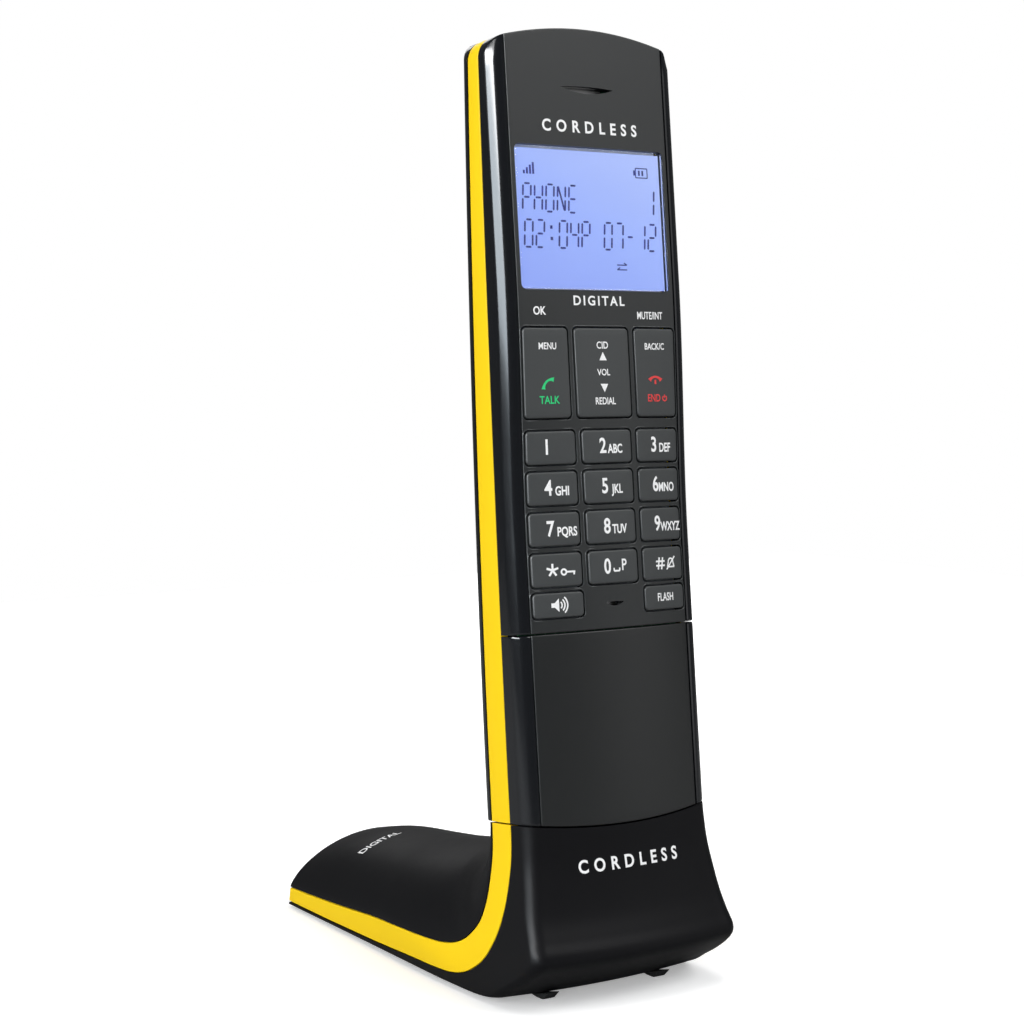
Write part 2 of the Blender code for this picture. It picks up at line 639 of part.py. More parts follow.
def make_base_shells(frame):
    table = base_station_table()
    share = [i / (len(table) - 1) for i in range(len(table))]
    front = [[placed(front_row(s, inset), i == 0) for i, s in enumerate(table)] for inset in (0, BASE_WALL)]
    back = [[placed(back_row(s, share[i], inset), i == 0) for i, s in enumerate(table)]
            for inset in (0, BASE_WALL)]
    lower = smooth_edges(make_object("base_front_shell", *shell_loft(*front), "satin_black", frame))
    upper = smooth_edges(make_object("base_top_shell", *shell_loft(*back), "satin_black", frame))
    for name, side in (("base_band_left", -1), ("base_band_right", 1)):
        rings = [[(side * x, y, z) for x, y, z in placed(band_rows(s), i == 0)] for i, s in enumerate(table)]
        smooth_edges(make_object(name, *loft(rings), "yellow", frame))
    sx, sy = BASE_SCREW
    fx, fy, fr = REAR_FOOT
    wells = [disc((s * sx, sy), 2.7, FOOT_BOTTOM - 5, FOOT_BOTTOM + 0.8, 2, 16) for s in (-1, 1)]
    pads = [disc((s * fx, fy), fr + GAP, FOOT_BOTTOM - 5, FOOT_BOTTOM + 0.7, 2, 20) for s in (-1, 1)]
    holes = [disc((s * sx, sy), 1.5, FOOT_BOTTOM + 0.5, FOOT_BOTTOM + 6, 2, 12) for s in (-1, 1)]
    for number, shape in enumerate((join_parts(wells + pads), join_parts(holes))):
        boolean(lower, hidden(make_object(f"cut_under_{number}", *shape, "steel", frame)))
    button = disc((0, PAGE_BUTTON_Y), PAGE_BUTTON_R + KEY_GAP, -24, 0, 2, 24)
    boolean(upper, hidden(make_object("cut_page_button", *button, "steel", frame)))


def make_rear_panel(frame):
    """The end wall of the foot, with an opening for each socket."""
    half = 26.0 - BASE_WALL - GAP
    low, shoulder, top = FOOT_BOTTOM + BASE_WALL + GAP, -34.6, -21.5 - BASE_WALL - GAP
    turns = [pi / 2 * k / 8 for k in range(9)]
    arch = [(half * cos(t), shoulder + (top - shoulder) * sin(t) ** 1.4) for t in turns]
    shape = [(half, low), *arch, *[(-x, z) for x, z in reversed(arch[:-1])], (-half, low)]
    panel = make_object("rear_panel", *prism(shape, PANEL_FRONT, PANEL_BACK, 1), "satin_black", frame)
    holes = [
        box((x0 - GAP, PANEL_FRONT - 3, SOCKET_LOW - GAP), (x1 + GAP, PANEL_BACK + 3, SOCKET_HIGH + GAP))
        for x0, x1 in (LINE_X, POWER_X)
    ]
    boolean(panel, hidden(make_object("cut_sockets", *join_parts(holes), "steel", frame)))


def make_sockets(frame):
    """A phone-line socket with its latch notch, and a barrel power socket with its centre pin."""
    x0, x1 = LINE_X
    middle = (x0 + x1) / 2
    line = make_object("line_socket", *box((x0, SOCKET_FRONT, SOCKET_LOW), (x1, PANEL_BACK, SOCKET_HIGH)),
                       "satin_black", frame)
    cavity = [(middle - 4.2, -35.0), (middle + 4.2, -35.0), (middle + 4.2, -29.6), (middle + 1.6, -29.6),
              (middle + 1.6, -28.3), (middle - 1.6, -28.3), (middle - 1.6, -29.6), (middle - 4.2, -29.6)]
    shape = prism(cavity, SOCKET_FRONT + 1.5, PANEL_BACK + 3, 1)
    boolean(line, hidden(make_object("cut_line", *shape, "steel", frame)))
    x0, x1 = POWER_X
    centre = ((x0 + x1) / 2, (SOCKET_LOW + SOCKET_HIGH) / 2)
    power = make_object("power_socket", *box((x0, SOCKET_FRONT, SOCKET_LOW), (x1, PANEL_BACK, SOCKET_HIGH)),
                        "satin_black", frame)
    outer = turned(centre, [(2.9, SOCKET_FRONT + 1.5), (2.9, PANEL_BACK + 3)], 1, 20)
    pin = turned(centre, [(0.9, SOCKET_FRONT + 0.5), (0.9, PANEL_BACK - 1)], 1, 12)
    bore = hidden(make_object("cut_power", *outer, "steel", frame))
    boolean(bore, hidden(make_object("cut_power_pin", *pin, "steel", frame)))
    boolean(power, bore)


def make_base_insides(frame):
    boxes = {
        "base_board": ((-19, 56, -34.2), (19, 100.8, -32.8), "board_green"),
        "steel_weight": ((-19, 26, -36.6), (19, 52, -31.6), "steel"),
    }
    for name, (low, high, slot) in boxes.items():
        make_object(name, *box(low, high), slot, frame)
    profile = ((PAGE_BUTTON_R, -17.0), (PAGE_BUTTON_R, -13.0), (3.9, -12.5))
    button = turned((0, PAGE_BUTTON_Y), profile, 2, 20)
    smooth_edges(make_object("page_button", *button, "satin_black", frame, (0, PAGE_BUTTON_Y, 0)))


def make_feet(frame):
    table = -SEAM_HEIGHT
    fx, fy, radius = REAR_FOOT
    for side, label in ((-1, "left"), (1, "right")):
        pad = turned((side * fx, fy), ((radius - 0.4, table), (radius, table + 0.4), (radius, -39.3)), 2, 20)
        make_object(f"rear_foot_{label}", *pad, "rubber", frame)
        wedge = ((6.2, -38.3), (8.6, table), (11.0, table), (13.6, -40.1))
        shape = prism(wedge, side * 16 - 1.6, side * 16 + 1.6, 0)
        make_object(f"front_foot_{label}", *shape, "rubber", frame)
        sx, sy = BASE_SCREW
        head = FOOT_BOTTOM + 0.8 - GAP
        screw = ((2.2, head - 0.4), (2.2, head), (1.1, head), (1.1, head + 5))
        make_object(f"base_screw_{label}", *turned((side * sx, sy), screw, 2, 12), "nickel", frame)


def main():
    clear_scene()
    base = make_empty("base_frame", (0, SEAM_Y, SEAM_HEIGHT), 0)
    handset = make_empty("handset_frame", (0, SEAM_Y, SEAM_HEIGHT), LEAN)
    cutters = handset_cutters(handset)
    make_front(handset, cutters)
    make_plates(handset, cutters)
    make_band(handset, cutters)
    make_rear(handset, cutters)
    make_keys(handset)
    make_handset_insides(handset)
    make_charging_end(handset)
    make_base_shells(base)
    make_rear_panel(base)
    make_sockets(base)
    make_base_insides(base)
    make_feet(base)


main()
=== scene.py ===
"""Cordless phone on its charging base: surfaces, finishes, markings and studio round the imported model.

Lengths inside the shape functions are millimetres and leave them as metres. Two frames are used, as in the
solids: the base frame starts where the front face meets the seam, and the handset frame starts there too and
leans back. A handset point is (x across, d into the handset, v along it), and a base point is (x, y, z).
"""

from math import cos, pi, radians, sin

import bmesh
import bpy
import numpy as np
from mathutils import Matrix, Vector


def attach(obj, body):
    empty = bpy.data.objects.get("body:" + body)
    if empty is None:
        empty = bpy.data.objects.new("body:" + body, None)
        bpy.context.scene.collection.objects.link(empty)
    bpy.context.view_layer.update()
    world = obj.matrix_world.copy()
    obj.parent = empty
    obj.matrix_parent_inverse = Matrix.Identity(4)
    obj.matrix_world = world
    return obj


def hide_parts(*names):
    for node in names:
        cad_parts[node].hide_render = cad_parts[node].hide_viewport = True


bl_info = {
    "name": "Cordless Phone with Base",
    "version": (1, 0, 0),
    "blender": (4, 5, 0),
    "location": "View3D > Sidebar > Phone",
    "description": "Builds the visible surfaces of a cordless phone standing on its charging base",
    "category": "Object",
}

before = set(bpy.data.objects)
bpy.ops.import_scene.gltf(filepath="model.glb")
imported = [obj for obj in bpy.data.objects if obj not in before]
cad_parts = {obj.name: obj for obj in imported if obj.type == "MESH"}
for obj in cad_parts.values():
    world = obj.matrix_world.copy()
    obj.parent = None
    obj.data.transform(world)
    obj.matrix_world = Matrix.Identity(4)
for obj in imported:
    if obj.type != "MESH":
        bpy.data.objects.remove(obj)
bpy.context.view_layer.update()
MM = 0.001

# Stance: where the handset frame starts, and how far it leans back
SEAM_Y, SEAM_Z, LEAN = -54.0, 40.4, radians(5.56)
LENGTH, HALF, LIP = 182.2, 26.0, 22.4
CORNER_X, CORNER_R = 21.0, 5.0
GAP = 0.3
SPLIT = 44.5
PLATE_HALF = 22.1
KEY_NAMES = (
    "menu_talk_key", "navigation_key", "back_end_key",
    *("key_" + n for n in (*"123456789", "star", "0", "hash")),
    "speaker_key", "flash_key",
)

# Openings in the handset's front: an edge on each side, or the height, half width and depth of a lens
WINDOW_OPENING = (-21.0, 122.1, 21.0, 155.0)
EAR_LENS, VOICE_LENS = (168.6, 7.4, 1.3), (50.6, 2.5, 0.8)

# Places of the paired pieces: how far to each side, and how far along the handset or back along the base
HANDSET_SCREW, BASE_SCREW = (16, 92), (14, 76)
REAR_FOOT, FRONT_FOOT = (17, 100), 16
CHARGE_PIN, PAGE_BUTTON = (12, 11.6), (0, 48)
SIDES = (("left", -1), ("right", 1))
BAND_ROUND = 0.28


# ------------------------------------------------------------------ placing and joining grids


def handset_points(p):
    """Handset numbers (x, d, v) turned by the lean and moved to the seam, as metres in the row frame."""
    p = np.asarray(p, float)
    x, d, v = p[..., 0], p[..., 1], p[..., 2]
    y = SEAM_Y + v * sin(LEAN) + d * cos(LEAN)
    z = SEAM_Z + v * cos(LEAN) - d * sin(LEAN)
    return np.stack([x, y, z], -1) * MM


def base_points(p):
    """Base numbers (x, y, z) moved to the seam, as metres in the row frame."""
    return (np.asarray(p, float) + (0, SEAM_Y, SEAM_Z)) * MM


def grid_faces(rows, cols, ring=False):
    """Four-cornered faces between neighbouring rows and columns. A ring also joins its last column to its
    first."""
    i = np.arange(rows - 1)[:, None] * cols
    j = np.arange(cols if ring else cols - 1)[None]
    k = (j + 1) % cols
    return np.stack([i + j, i + k, i + cols + k, i + cols + j], -1).reshape(-1, 4)


def merge(grids):
    """Grids of shape (rows, columns, 3), or (grid, True) for rings, as one list of points and one of
    faces."""
    points, faces, start = [], [], 0
    for grid in grids:
        grid, ring = grid if isinstance(grid, tuple) else (grid, False)
        grid = np.asarray(grid, float)
        rows, cols = grid.shape[:2]
        points.append(grid.reshape(-1, 3))
        faces.append(grid_faces(rows, cols, ring) + start)
        start += rows * cols
    return np.concatenate(points), np.concatenate(faces)


def disc_ends(rings):
    """A ring grid with each end drawn in to its own middle point, so that it's closed."""
    rings = np.asarray(rings, float)
    first, last = (np.broadcast_to(ring.mean(0), ring.shape)[None] for ring in (rings[0], rings[-1]))
    return np.concatenate([first, rings, last])


def piece(name, grids, body, look, replaces=(), angle=32, place=handset_points):
    """One object from grids: doubles merged, normals turned outwards, edges over the angle kept sharp."""
    points, faces = merge(grids)
    mesh = bpy.data.meshes.new(name)
    mesh.from_pydata(place(points).tolist(), [], faces.tolist())
    work = bmesh.new()
    work.from_mesh(mesh)
    bmesh.ops.remove_doubles(work, verts=work.verts, dist=2e-6)
    bmesh.ops.dissolve_degenerate(work, edges=work.edges, dist=1e-7)
    bmesh.ops.recalc_face_normals(work, faces=work.faces)
    if all(edge.is_manifold for edge in work.edges) and work.calc_volume(signed=True) < 0:
        bmesh.ops.reverse_faces(work, faces=work.faces)
    work.to_mesh(mesh)
    work.free()
    obj = bpy.data.objects.new(name, mesh)
    bpy.context.scene.collection.objects.link(obj)
    mesh.shade_smooth()
    mesh.set_sharp_from_angle(angle=radians(angle))
    return dress(obj, body, look, replaces)


def dress(obj, body, look, replaces=()):
    """The object's material, the body it moves with, and the solids it stands for."""
    obj.data.materials.clear()
    obj.data.materials.append(bpy.data.materials[look])
    if body:
        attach(obj, body)
    if replaces:
        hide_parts(*replaces)
    return obj


def cutter(name, prisms, axis=1, place=handset_points):
    """A hidden closed shape made of straight prisms, each an outline between two levels of the axis."""
    grids = []
    for outline, low, high in prisms:
        outline = np.asarray(outline, float)
        rings = np.stack([np.insert(outline, axis, level, axis=1) for level in (low, high)])
        grids.append((disc_ends(rings), True))
    obj = piece(name, grids, None, "Satin black", place=place)
    obj.hide_render = obj.hide_viewport = True
    return obj


def cut(obj, other):
    """Takes the other shape out of the object's mesh by an exact Boolean and keeps its edges crisp."""
    changed = obj.modifiers.new("cut", "BOOLEAN")
    changed.operation, changed.solver, changed.object = "DIFFERENCE", "EXACT", other
    other.hide_viewport = False
    bpy.context.view_layer.update()
    graph = bpy.context.evaluated_depsgraph_get()
    mesh = bpy.data.meshes.new_from_object(obj.evaluated_get(graph))
    obj.modifiers.clear()
    look = obj.data.materials[0]
    obj.data = mesh
    mesh.materials.clear()
    mesh.materials.append(look)
    mesh.polygons.foreach_set("material_index", np.zeros(len(mesh.polygons), np.int32))
    bpy.data.objects.remove(other)
    mesh.shade_smooth()
    mesh.set_sharp_from_angle(angle=radians(30))
    return obj


# ------------------------------------------------------------------ curves and sections


def rounded(x0, v0, x1, v1, radius, steps=6):
    """A rectangle with a quarter circle of the radius at each corner, anticlockwise."""
    turns = (np.arange(4)[:, None] + np.linspace(0, 1, steps + 1)[None]) * pi / 2
    cx = np.array([x1 - radius, x0 + radius, x0 + radius, x1 - radius])[:, None]
    cv = np.array([v1 - radius, v1 - radius, v0 + radius, v0 + radius])[:, None]
    return np.stack([cx + radius * np.cos(turns), cv + radius * np.sin(turns)], -1).reshape(-1, 2)


def smooth(t):
    """The cubic 3t^2 - 2t^3 between 0 and 1."""
    t = np.clip(t, 0, 1)
    return t * t * (3 - 2 * t)


def crown(v):
    """Depth of the faceplate's sides behind its middle: 0.4 at the top, 2.4 low down."""
    return 0.4 + 2.0 * smooth((125.0 - v) / 60.0)


def face(x, v):
    """The faceplate's front: a parabola across, as deep at its edge as the crown."""
    return crown(v) * (x / 22.1) ** 2


def band_front(v):
    """Depth of the coloured band's front edge, less towards the top."""
    return 9.4 - 4.1 * (np.clip(v, 0, None) / LENGTH) ** 1.6


def band_rear(v):
    """Depth of the coloured band's rear edge, less towards the top."""
    return 17.0 - 7.5 * (np.clip(v, 0, None) / LENGTH) ** 1.7


def back(x, v, half=HALF):
    """The rear cover: a flat middle whose sides turn forwards to the band, (1 - (x/half)^6)^0.45."""
    return band_rear(v) + 5.4 * np.clip(1 - (np.abs(x) / half) ** 6, 0, None) ** 0.45


def arch(x):
    """The top's height: a parabola that falls 2.8 mm by the plate's corners."""
    return LENGTH - 2.8 * (x / 22.6) ** 2


def top_edge(x, inset=0.0):
    """The handset's top: an arch that a corner arc takes over where both have the same slope."""
    x = np.abs(x)
    radius = CORNER_R - inset
    lean = np.arctan(2 * 2.8 * CORNER_X / 22.6**2)
    meet = CORNER_X + radius * np.sin(lean)
    middle = arch(meet) - inset - radius * np.cos(lean)
    arc = middle + np.sqrt(np.clip(radius**2 - (x - CORNER_X) ** 2, 0, None))
    return np.where(x < meet, arch(x) - inset, arc)


def seam(x):
    """The handset's lower edge: a parabola that climbs 2 mm from the middle to the sides."""
    return 2.0 * (x / HALF) ** 2 + 0.175


def ease(distance, radius):
    """How far a surface falls back at this distance from its edge, for an edge rounded with the radius."""
    t = np.clip((radius - distance) / radius, 0, 1)
    return radius * (1 - np.sqrt(np.clip(1 - t * t, 0, None)))


def edge_steps(count, low, high, fine=0.25):
    """Even steps between two levels with four close ones at each end, for a rounded edge."""
    close = np.array([0, 0.12, 0.35, 0.65, 1.0]) * fine
    middle = np.linspace(low + fine, high - fine, count)[1:-1]
    return np.concatenate([low + close, middle, (high - close)[::-1]])


def front_surface(x, v, inset, top):
    """The front housing: a recessed floor, then a quarter ellipse from the lip to the side. Near a top
    corner its distance from the lip is measured round the corner, so the rounding follows it."""
    reach = HALF - inset - LIP
    ax = np.abs(x)
    centre = top_edge(np.full_like(x, HALF - inset), inset)
    up = np.clip(v - centre, 0, None)
    far = np.hypot(ax - CORNER_X, up)
    turn = np.arctan2(ax - CORNER_X, np.maximum(up, 1e-6))
    share = smooth(turn / (pi / 2))
    round_x = np.where(top & (up > 0), CORNER_X + far * (np.sin(turn) * (1 - share) + share), ax)
    t = np.clip((round_x - LIP) / reach, 0, 1)
    depth = 3.8 if inset == 0 else 2.4
    return crown(v) + depth * (1 - np.sqrt(1 - t * t))


# ------------------------------------------------------------------ handset shells


def walls_of(surface, rim, closed_top):
    """The border of a surface carried back to the rim's depth: one path round a closed top, or the two
    sides."""
    left, right = surface[:, 0], surface[:, -1]
    paths = [np.concatenate([left, surface[-1, 1:-1], right[::-1]])] if closed_top else [left, right]
    made = []
    for path in paths:
        end = path.copy()
        end[:, 1] = rim(path[:, 2])
        made.append(np.stack([path, end]))
    return made


def shell(outer, inner, rim, closed_top=True):
    """A walled tray: outer and inner surfaces, their walls, the rim between the walls, and the open
    ends."""
    outside, inside = walls_of(outer, rim, closed_top), walls_of(inner, rim, closed_top)
    grids = [outer, inner, *outside, *inside]
    grids += [np.stack([a[1], b[1]]) for a, b in zip(outside, inside)]
    for row in (0,) if closed_top else (0, -1):
        sections = []
        for surface, walls in ((outer, outside), (inner, inside)):
            ends = (walls[0][1, 0], walls[0][1, -1]) if closed_top else (walls[0][1, row], walls[-1][1, row])
            sections.append(np.concatenate([ends[0][None], surface[row], ends[1][None]]))
        grids.append(np.stack(sections))
    return grids


def sheet(outer, inner):
    """A closed sheet from its two faces and the edge that joins their borders."""
    def border(g):
        return np.concatenate([g[0], g[1:-1, -1], g[-1, ::-1], g[-2:0:-1, 0]])

    return [outer, inner, (np.stack([border(outer), border(inner)]), True)]


def level(v):
    """A straight edge at one height, in the form that spread takes."""
    return lambda x: 0 * x + v


def spread(columns, shares, low, high):
    """x and v on a grid: each column runs from low(x) to high(x) by the same shares."""
    x = np.broadcast_to(columns, (len(shares), len(columns)))
    v = low(x) + (high(x) - low(x)) * np.asarray(shares)[:, None]
    return x, v


def mirrored(half):
    """Columns from the middle outwards, given on both sides."""
    return np.concatenate([-half[:0:-1], half])


def housing_surface(low, high, shares, inset, top):
    """The floor under the plate at an even depth behind it, the lip, and the rounded strip beside it."""
    reach = HALF - inset
    floor = np.linspace(0, LIP, 9)
    strip = LIP + (reach - LIP) * np.sin(np.linspace(0, pi / 2, 13))
    columns = mirrored(np.concatenate([floor, strip]))
    flat = np.abs(mirrored(np.repeat([1.0, 0.0], [len(floor), len(strip)]))) > 0
    x, v = spread(columns, shares, low, high)
    rounding = front_surface(x, v, inset, top)
    if inset:
        depth = np.where(flat, face(x, v) + 2.2, rounding + 2.2)
    else:
        rounding = rounding + ease(high(x) - v, 0.45) + ease(v - low(x), 0.3)
        depth = np.where(flat, face(x, v) + 1.2, rounding)
    return np.stack([x, depth, v], -1)


def front_housings():
    """Both front housings: gloss black trays whose sides round back to the coloured band."""
    def rim(v):
        return band_front(v) - GAP / 2

    split = SPLIT + GAP / 2
    shares = edge_steps(70, 0, 1, 0.005)
    outer = housing_surface(level(split), top_edge, shares, 0, True)
    inner = housing_surface(level(split), lambda x: top_edge(x, 2), shares, 2, True)
    upper = piece("front_housing_upper_shell", shell(outer, inner, rim), "handset", "Gloss black",
                  ["front_housing_upper"])
    openings = [(rounded(-21.8, 47.2, 21.8, 113.9, 1), -3, 6.5), (rounded(*WINDOW_OPENING, 0.8), -3, 6.5),
                (lens_outline(*EAR_LENS), -3, 6.5)]
    cut(upper, cutter("housing_openings", openings))
    shares = edge_steps(22, 0, 1, 0.014)
    levels = (seam, level(SPLIT - GAP / 2))
    parts = [housing_surface(*levels, shares, inset, False) for inset in (0, 2)]
    piece("front_housing_lower_shell", shell(*parts, rim, False), "handset", "Gloss black",
          ["front_housing_lower"])


def lens_outline(v, half, height, steps=24):
    """A lens: its lower edge is a parabola of the full height, its upper edge one of a quarter of it."""
    x = np.linspace(-half, half, steps)
    low = np.stack([x, v - height * (1 - (x / half) ** 2)], 1)
    high = np.stack([x[::-1], v + height * 0.25 * (1 - (x / half) ** 2)], 1)[1:-1]
    return np.concatenate([low, high])


def plate_surface(low, high, shares, behind, rim=0.25):
    """A sheet that follows the faceplate's parabola, with its own edges eased back."""
    x, v = spread(edge_steps(40, -PLATE_HALF, PLATE_HALF, 0.3), shares, low, high)
    d = face(x, v) + behind
    if not behind:
        d = d + ease(PLATE_HALF - np.abs(x), rim) + ease(high(x) - v, rim) + ease(v - low(x), rim)
    return np.stack([x, d, v], -1)


def faceplates():
    """The keypad's faceplate with its openings, the plain panel below it, and the fine bead round each
    opening, coloured lighter than the plate as a painted highlight along the openings' edges."""
    props = bpy.context.scene.phone_finish
    shares = edge_steps(100, 0, 1, 0.0025)
    span = (level(SPLIT + GAP / 2), top_edge)
    faces = [plate_surface(*span, shares, behind) for behind in (0, 0.9)]
    plate = piece("keypad_plate", sheet(*faces), "handset", "Satin charcoal",
                  ["keypad_faceplate"])
    gap = props.key_gap / MM
    around = [(x0 - gap, v0 - gap, x1 + gap, v1 + gap, 1.2) for x0, v0, x1, v1 in key_spans()]
    openings = [(rounded(*edges), -3, 8) for edges in around]
    openings += [(rounded(*WINDOW_OPENING, 1.3), -3, 8), (lens_outline(*EAR_LENS), -3, 8),
                 (lens_outline(*VOICE_LENS), -3, 8)]
    cut(plate, cutter("plate_openings", openings))
    # The beads are coloured 2.4 times lighter than the plate: a painted highlight along each opening's edge.
    beads = [bead(*edges, 0.26, 0.1) for edges in around]
    piece("keypad_opening_beads", beads, "handset", "Bright charcoal edge")
    shares = edge_steps(24, 0, 1, 0.008)
    faces = [plate_surface(seam, level(SPLIT - GAP / 2), shares, behind, 0.3) for behind in (0, 0.9)]
    piece("lower_plate", sheet(*faces), "handset", "Satin charcoal lower", ["lower_front_panel"])


def bead(x0, v0, x1, v1, radius, width, height):
    """A half-round rim carried round an opening: outwards by width (1 - cos), proud by height times
    sine."""
    turns = np.linspace(0, pi, 7)
    rings = []
    for turn in np.append(turns, 0):
        out = width / 2 * (1 - cos(turn)) + 0.01
        line = rounded(x0 - out, v0 - out, x1 + out, v1 + out, radius + out)
        x, v = line.T
        rings.append(np.stack([x, face(x, v) + 0.03 - height * sin(turn), v], 1))
    return np.stack(rings), True


def outline_path(count=60):
    """The handset's edge from the left end of the seam, over the top, to the right end, with inward
    normals."""
    side = np.full(count, HALF)
    start = top_edge(np.array([HALF]))[0]
    up = np.linspace(seam(HALF), start, count)
    turn = np.linspace(pi / 2, np.arctan(2 * 2.8 * CORNER_X / 22.6**2), 14)[1:]
    arc = np.stack([CORNER_X + CORNER_R * np.sin(turn), start + CORNER_R * np.cos(turn)], 1)
    over = np.linspace(arc[-1, 0], 0, 14)[1:]
    half = np.concatenate([np.stack([side, up], 1), arc, np.stack([over, arch(over)], 1)])
    line = np.concatenate([half * (-1, 1), half[-2::-1]])
    step = np.gradient(line, axis=0)
    step /= np.linalg.norm(step, axis=1, keepdims=True)
    step[:count], step[-count:] = (0, 1), (0, -1)
    return line, np.stack([step[:, 1], -step[:, 0]], 1)


def handset_band():
    """The coloured band: a rectangle with rounded outer edges, carried round the handset's outline. Its
    front and rear edges draw together towards the top as powers of the height."""
    line, inward = outline_path()
    turns = np.linspace(0, pi / 2, 6)
    rise, fall = BAND_ROUND * (1 - np.cos(turns)), BAND_ROUND * (1 - np.sin(turns))
    inset = np.concatenate([[2.0], fall, rise, [2.0]])
    low = np.concatenate([[0], rise, np.zeros(7)])
    high = np.concatenate([np.zeros(7), fall, [0]])
    front = band_front(line[:, 1])[:, None] + GAP / 2 + low
    rear = band_rear(line[:, 1])[:, None] - GAP / 2 - high
    depth = np.where(np.arange(14) < 7, front, rear)
    flat = line[:, None] + inward[:, None] * inset[None, :, None]
    rings = np.stack([flat[..., 0], depth, flat[..., 1]], -1)
    piece("handset_colour_band", [(disc_ends(rings), True)], "handset", "Coloured gloss",
          ["handset_band"])


def rear_surface(inset, shares):
    """The rear cover's flat back with sides rolled forward, eased at its top edge."""
    reach = HALF - inset
    columns = mirrored(reach * np.sin(np.linspace(0, pi / 2, 31)) ** 0.4)
    x, v = spread(columns, shares, seam, lambda x: top_edge(x, inset))
    rim = band_rear(v) + GAP / 2
    depth = back(x, v, reach) + GAP / 2 - (2 if inset else 0)
    if not inset:
        depth = depth - ease(top_edge(x) - v, 1.3) - ease(v - seam(x), 0.4)
    return np.stack([x, np.maximum(depth, rim + (0 if inset else 0.05)), v], -1)


def well_depth():
    """The rear cover's depth at the edge of a screw's well, where it's less."""
    x, v = HANDSET_SCREW
    return min(back(x + 2.6, v), back(x - 2.6, v))


def rear_cover():
    """The rear cover with its battery opening, sound slots and screw wells, and the ribbed battery door."""
    shares = edge_steps(80, 0, 1, 0.0075)
    parts = [rear_surface(inset, shares) for inset in (0, 2)]
    cover = piece("rear_cover_shell", shell(*parts, lambda v: band_rear(v) + GAP / 2), "handset",
                  "Gloss black", ["rear_cover"])
    deep = well_depth()
    slots = [(rounded(-7, 144 + 3 * k, 7, 145.2 + 3 * k, 0.55), 8, 30) for k in range(5)]
    x, v = HANDSET_SCREW
    wells = [(circle(side * x, v, 2.6), deep - 0.8, 30) for side in (-1, 1)]
    holes = [(circle(side * x, v, 1.5), 8, 30) for side in (-1, 1)]
    door = [(rounded(-17.5, 17, 17.5, 69, 1.2), 8, 30)]
    cut(cover, cutter("cover_openings", door + slots + wells))
    cut(cover, cutter("cover_holes", holes))
    x, v = np.meshgrid(edge_steps(40, -17.2, 17.2, 0.4), edge_steps(80, 17.3, 68.7, 0.4))
    grip = np.clip((60 - np.abs(x) * 4) / 8, 0, 1) * (np.cos(v * pi / 1.1) > 0) * ((v > 55) & (v < 66))
    edge = ease(17.2 - np.abs(x), 0.35) + ease(v - 17.3, 0.35) + ease(68.7 - v, 0.35)
    outer = np.stack([x, back(x, v) + GAP / 2 - edge - 0.3 * grip, v], -1)
    inner = np.stack([x, back(x, v) + GAP / 2 - 1.5, v], -1)
    piece("battery_door_panel", sheet(outer, inner), "battery_door", "Gloss black",
          ["battery_door"])


def circle(x, v, radius, sides=40):
    """A circle's corners, anticlockwise."""
    turns = np.arange(sides) * 2 * pi / sides
    return np.stack([x + radius * np.cos(turns), v + radius * np.sin(turns)], 1)


# ------------------------------------------------------------------ keys, window and display


def key_spans():
    """Each key's left, lower, right and upper edge on the front, in the order of KEY_NAMES."""
    spans = [(-21.4, 93.0, -9.5, 113.4), (-7.6, 93.0, 7.6, 113.4), (9.5, 93.0, 21.4, 113.4)]
    for row in (86.3, 77.1, 67.9, 58.7):
        spans += [(x0, row - 3.75, x1, row + 3.75) for x0, x1 in ((-21.4, -8.8), (-6.9, 6.9), (8.8, 21.4))]
    return spans + [(-21.4, 48.0, -8.8, 53.6), (8.8, 48.0, 21.4, 53.6)]


def keys():
    """Every key: rounded rectangles drawn in towards the middle, over a quarter-round shoulder, following
    the plate's curve across."""
    for name, (x0, v0, x1, v1) in zip(KEY_NAMES, key_spans()):
        middle = np.array([(x0 + x1) / 2, (v0 + v1) / 2])
        rim = rounded(x0, v0, x1, v1, 1.0)
        rows = [(rim, -4.4), (rim, 0.0)]
        for turn in np.linspace(0, pi / 2, 6):
            inset = 0.4 * (1 - cos(turn))
            line = rounded(x0 + inset, v0 + inset, x1 - inset, v1 - inset, 1.0 - inset)
            rows.append((line, 0.3 * sin(turn) + 0.05))
        top = rows[-1][0]
        rows += [(middle + (top - middle) * share, 0.35) for share in (0.85, 0.65, 0.45, 0.25, 0.0)]
        rings = [np.stack([x, face(x, v) - up, v], 1) for (x, v), up in ((line.T, up) for line, up in rows)]
        rings[0][:, 1] = 4.4
        base = np.broadcast_to((middle[0], 4.4, middle[1]), rings[0].shape)
        rings = np.stack([base, *rings])
        piece(name + "_cap", [(rings, True)], name, "Key rubber", [name], 28)


def display():
    """The display's panel, its characters, and the clear window in front."""
    x, v = np.meshgrid(edge_steps(30, -20.7, 20.7, 0.3), edge_steps(30, 122.4, 154.7, 0.3))
    edge = ease(20.7 - np.abs(x), 0.25) + ease(v - 122.4, 0.25) + ease(154.7 - v, 0.25)
    lens = sheet(np.stack([x, face(x, v) + edge * 0.8, v], -1), np.stack([x, face(x, v) + 0.8, v], -1))
    piece("display_lens", lens, "handset", "Clear window", ["display_window"])
    x, v = np.meshgrid(np.linspace(-20.4, 20.4, 9), np.linspace(122.8, 154.3, 9))
    panel = sheet(np.stack([x, 0 * x + 1.55, v], -1), np.stack([x, 0 * x + 2.75, v], -1))
    piece("display_glow", panel, "handset", "Backlit display", ["display_panel"])
    piece("display_segments", display_marks(), "handset", "Display ink")


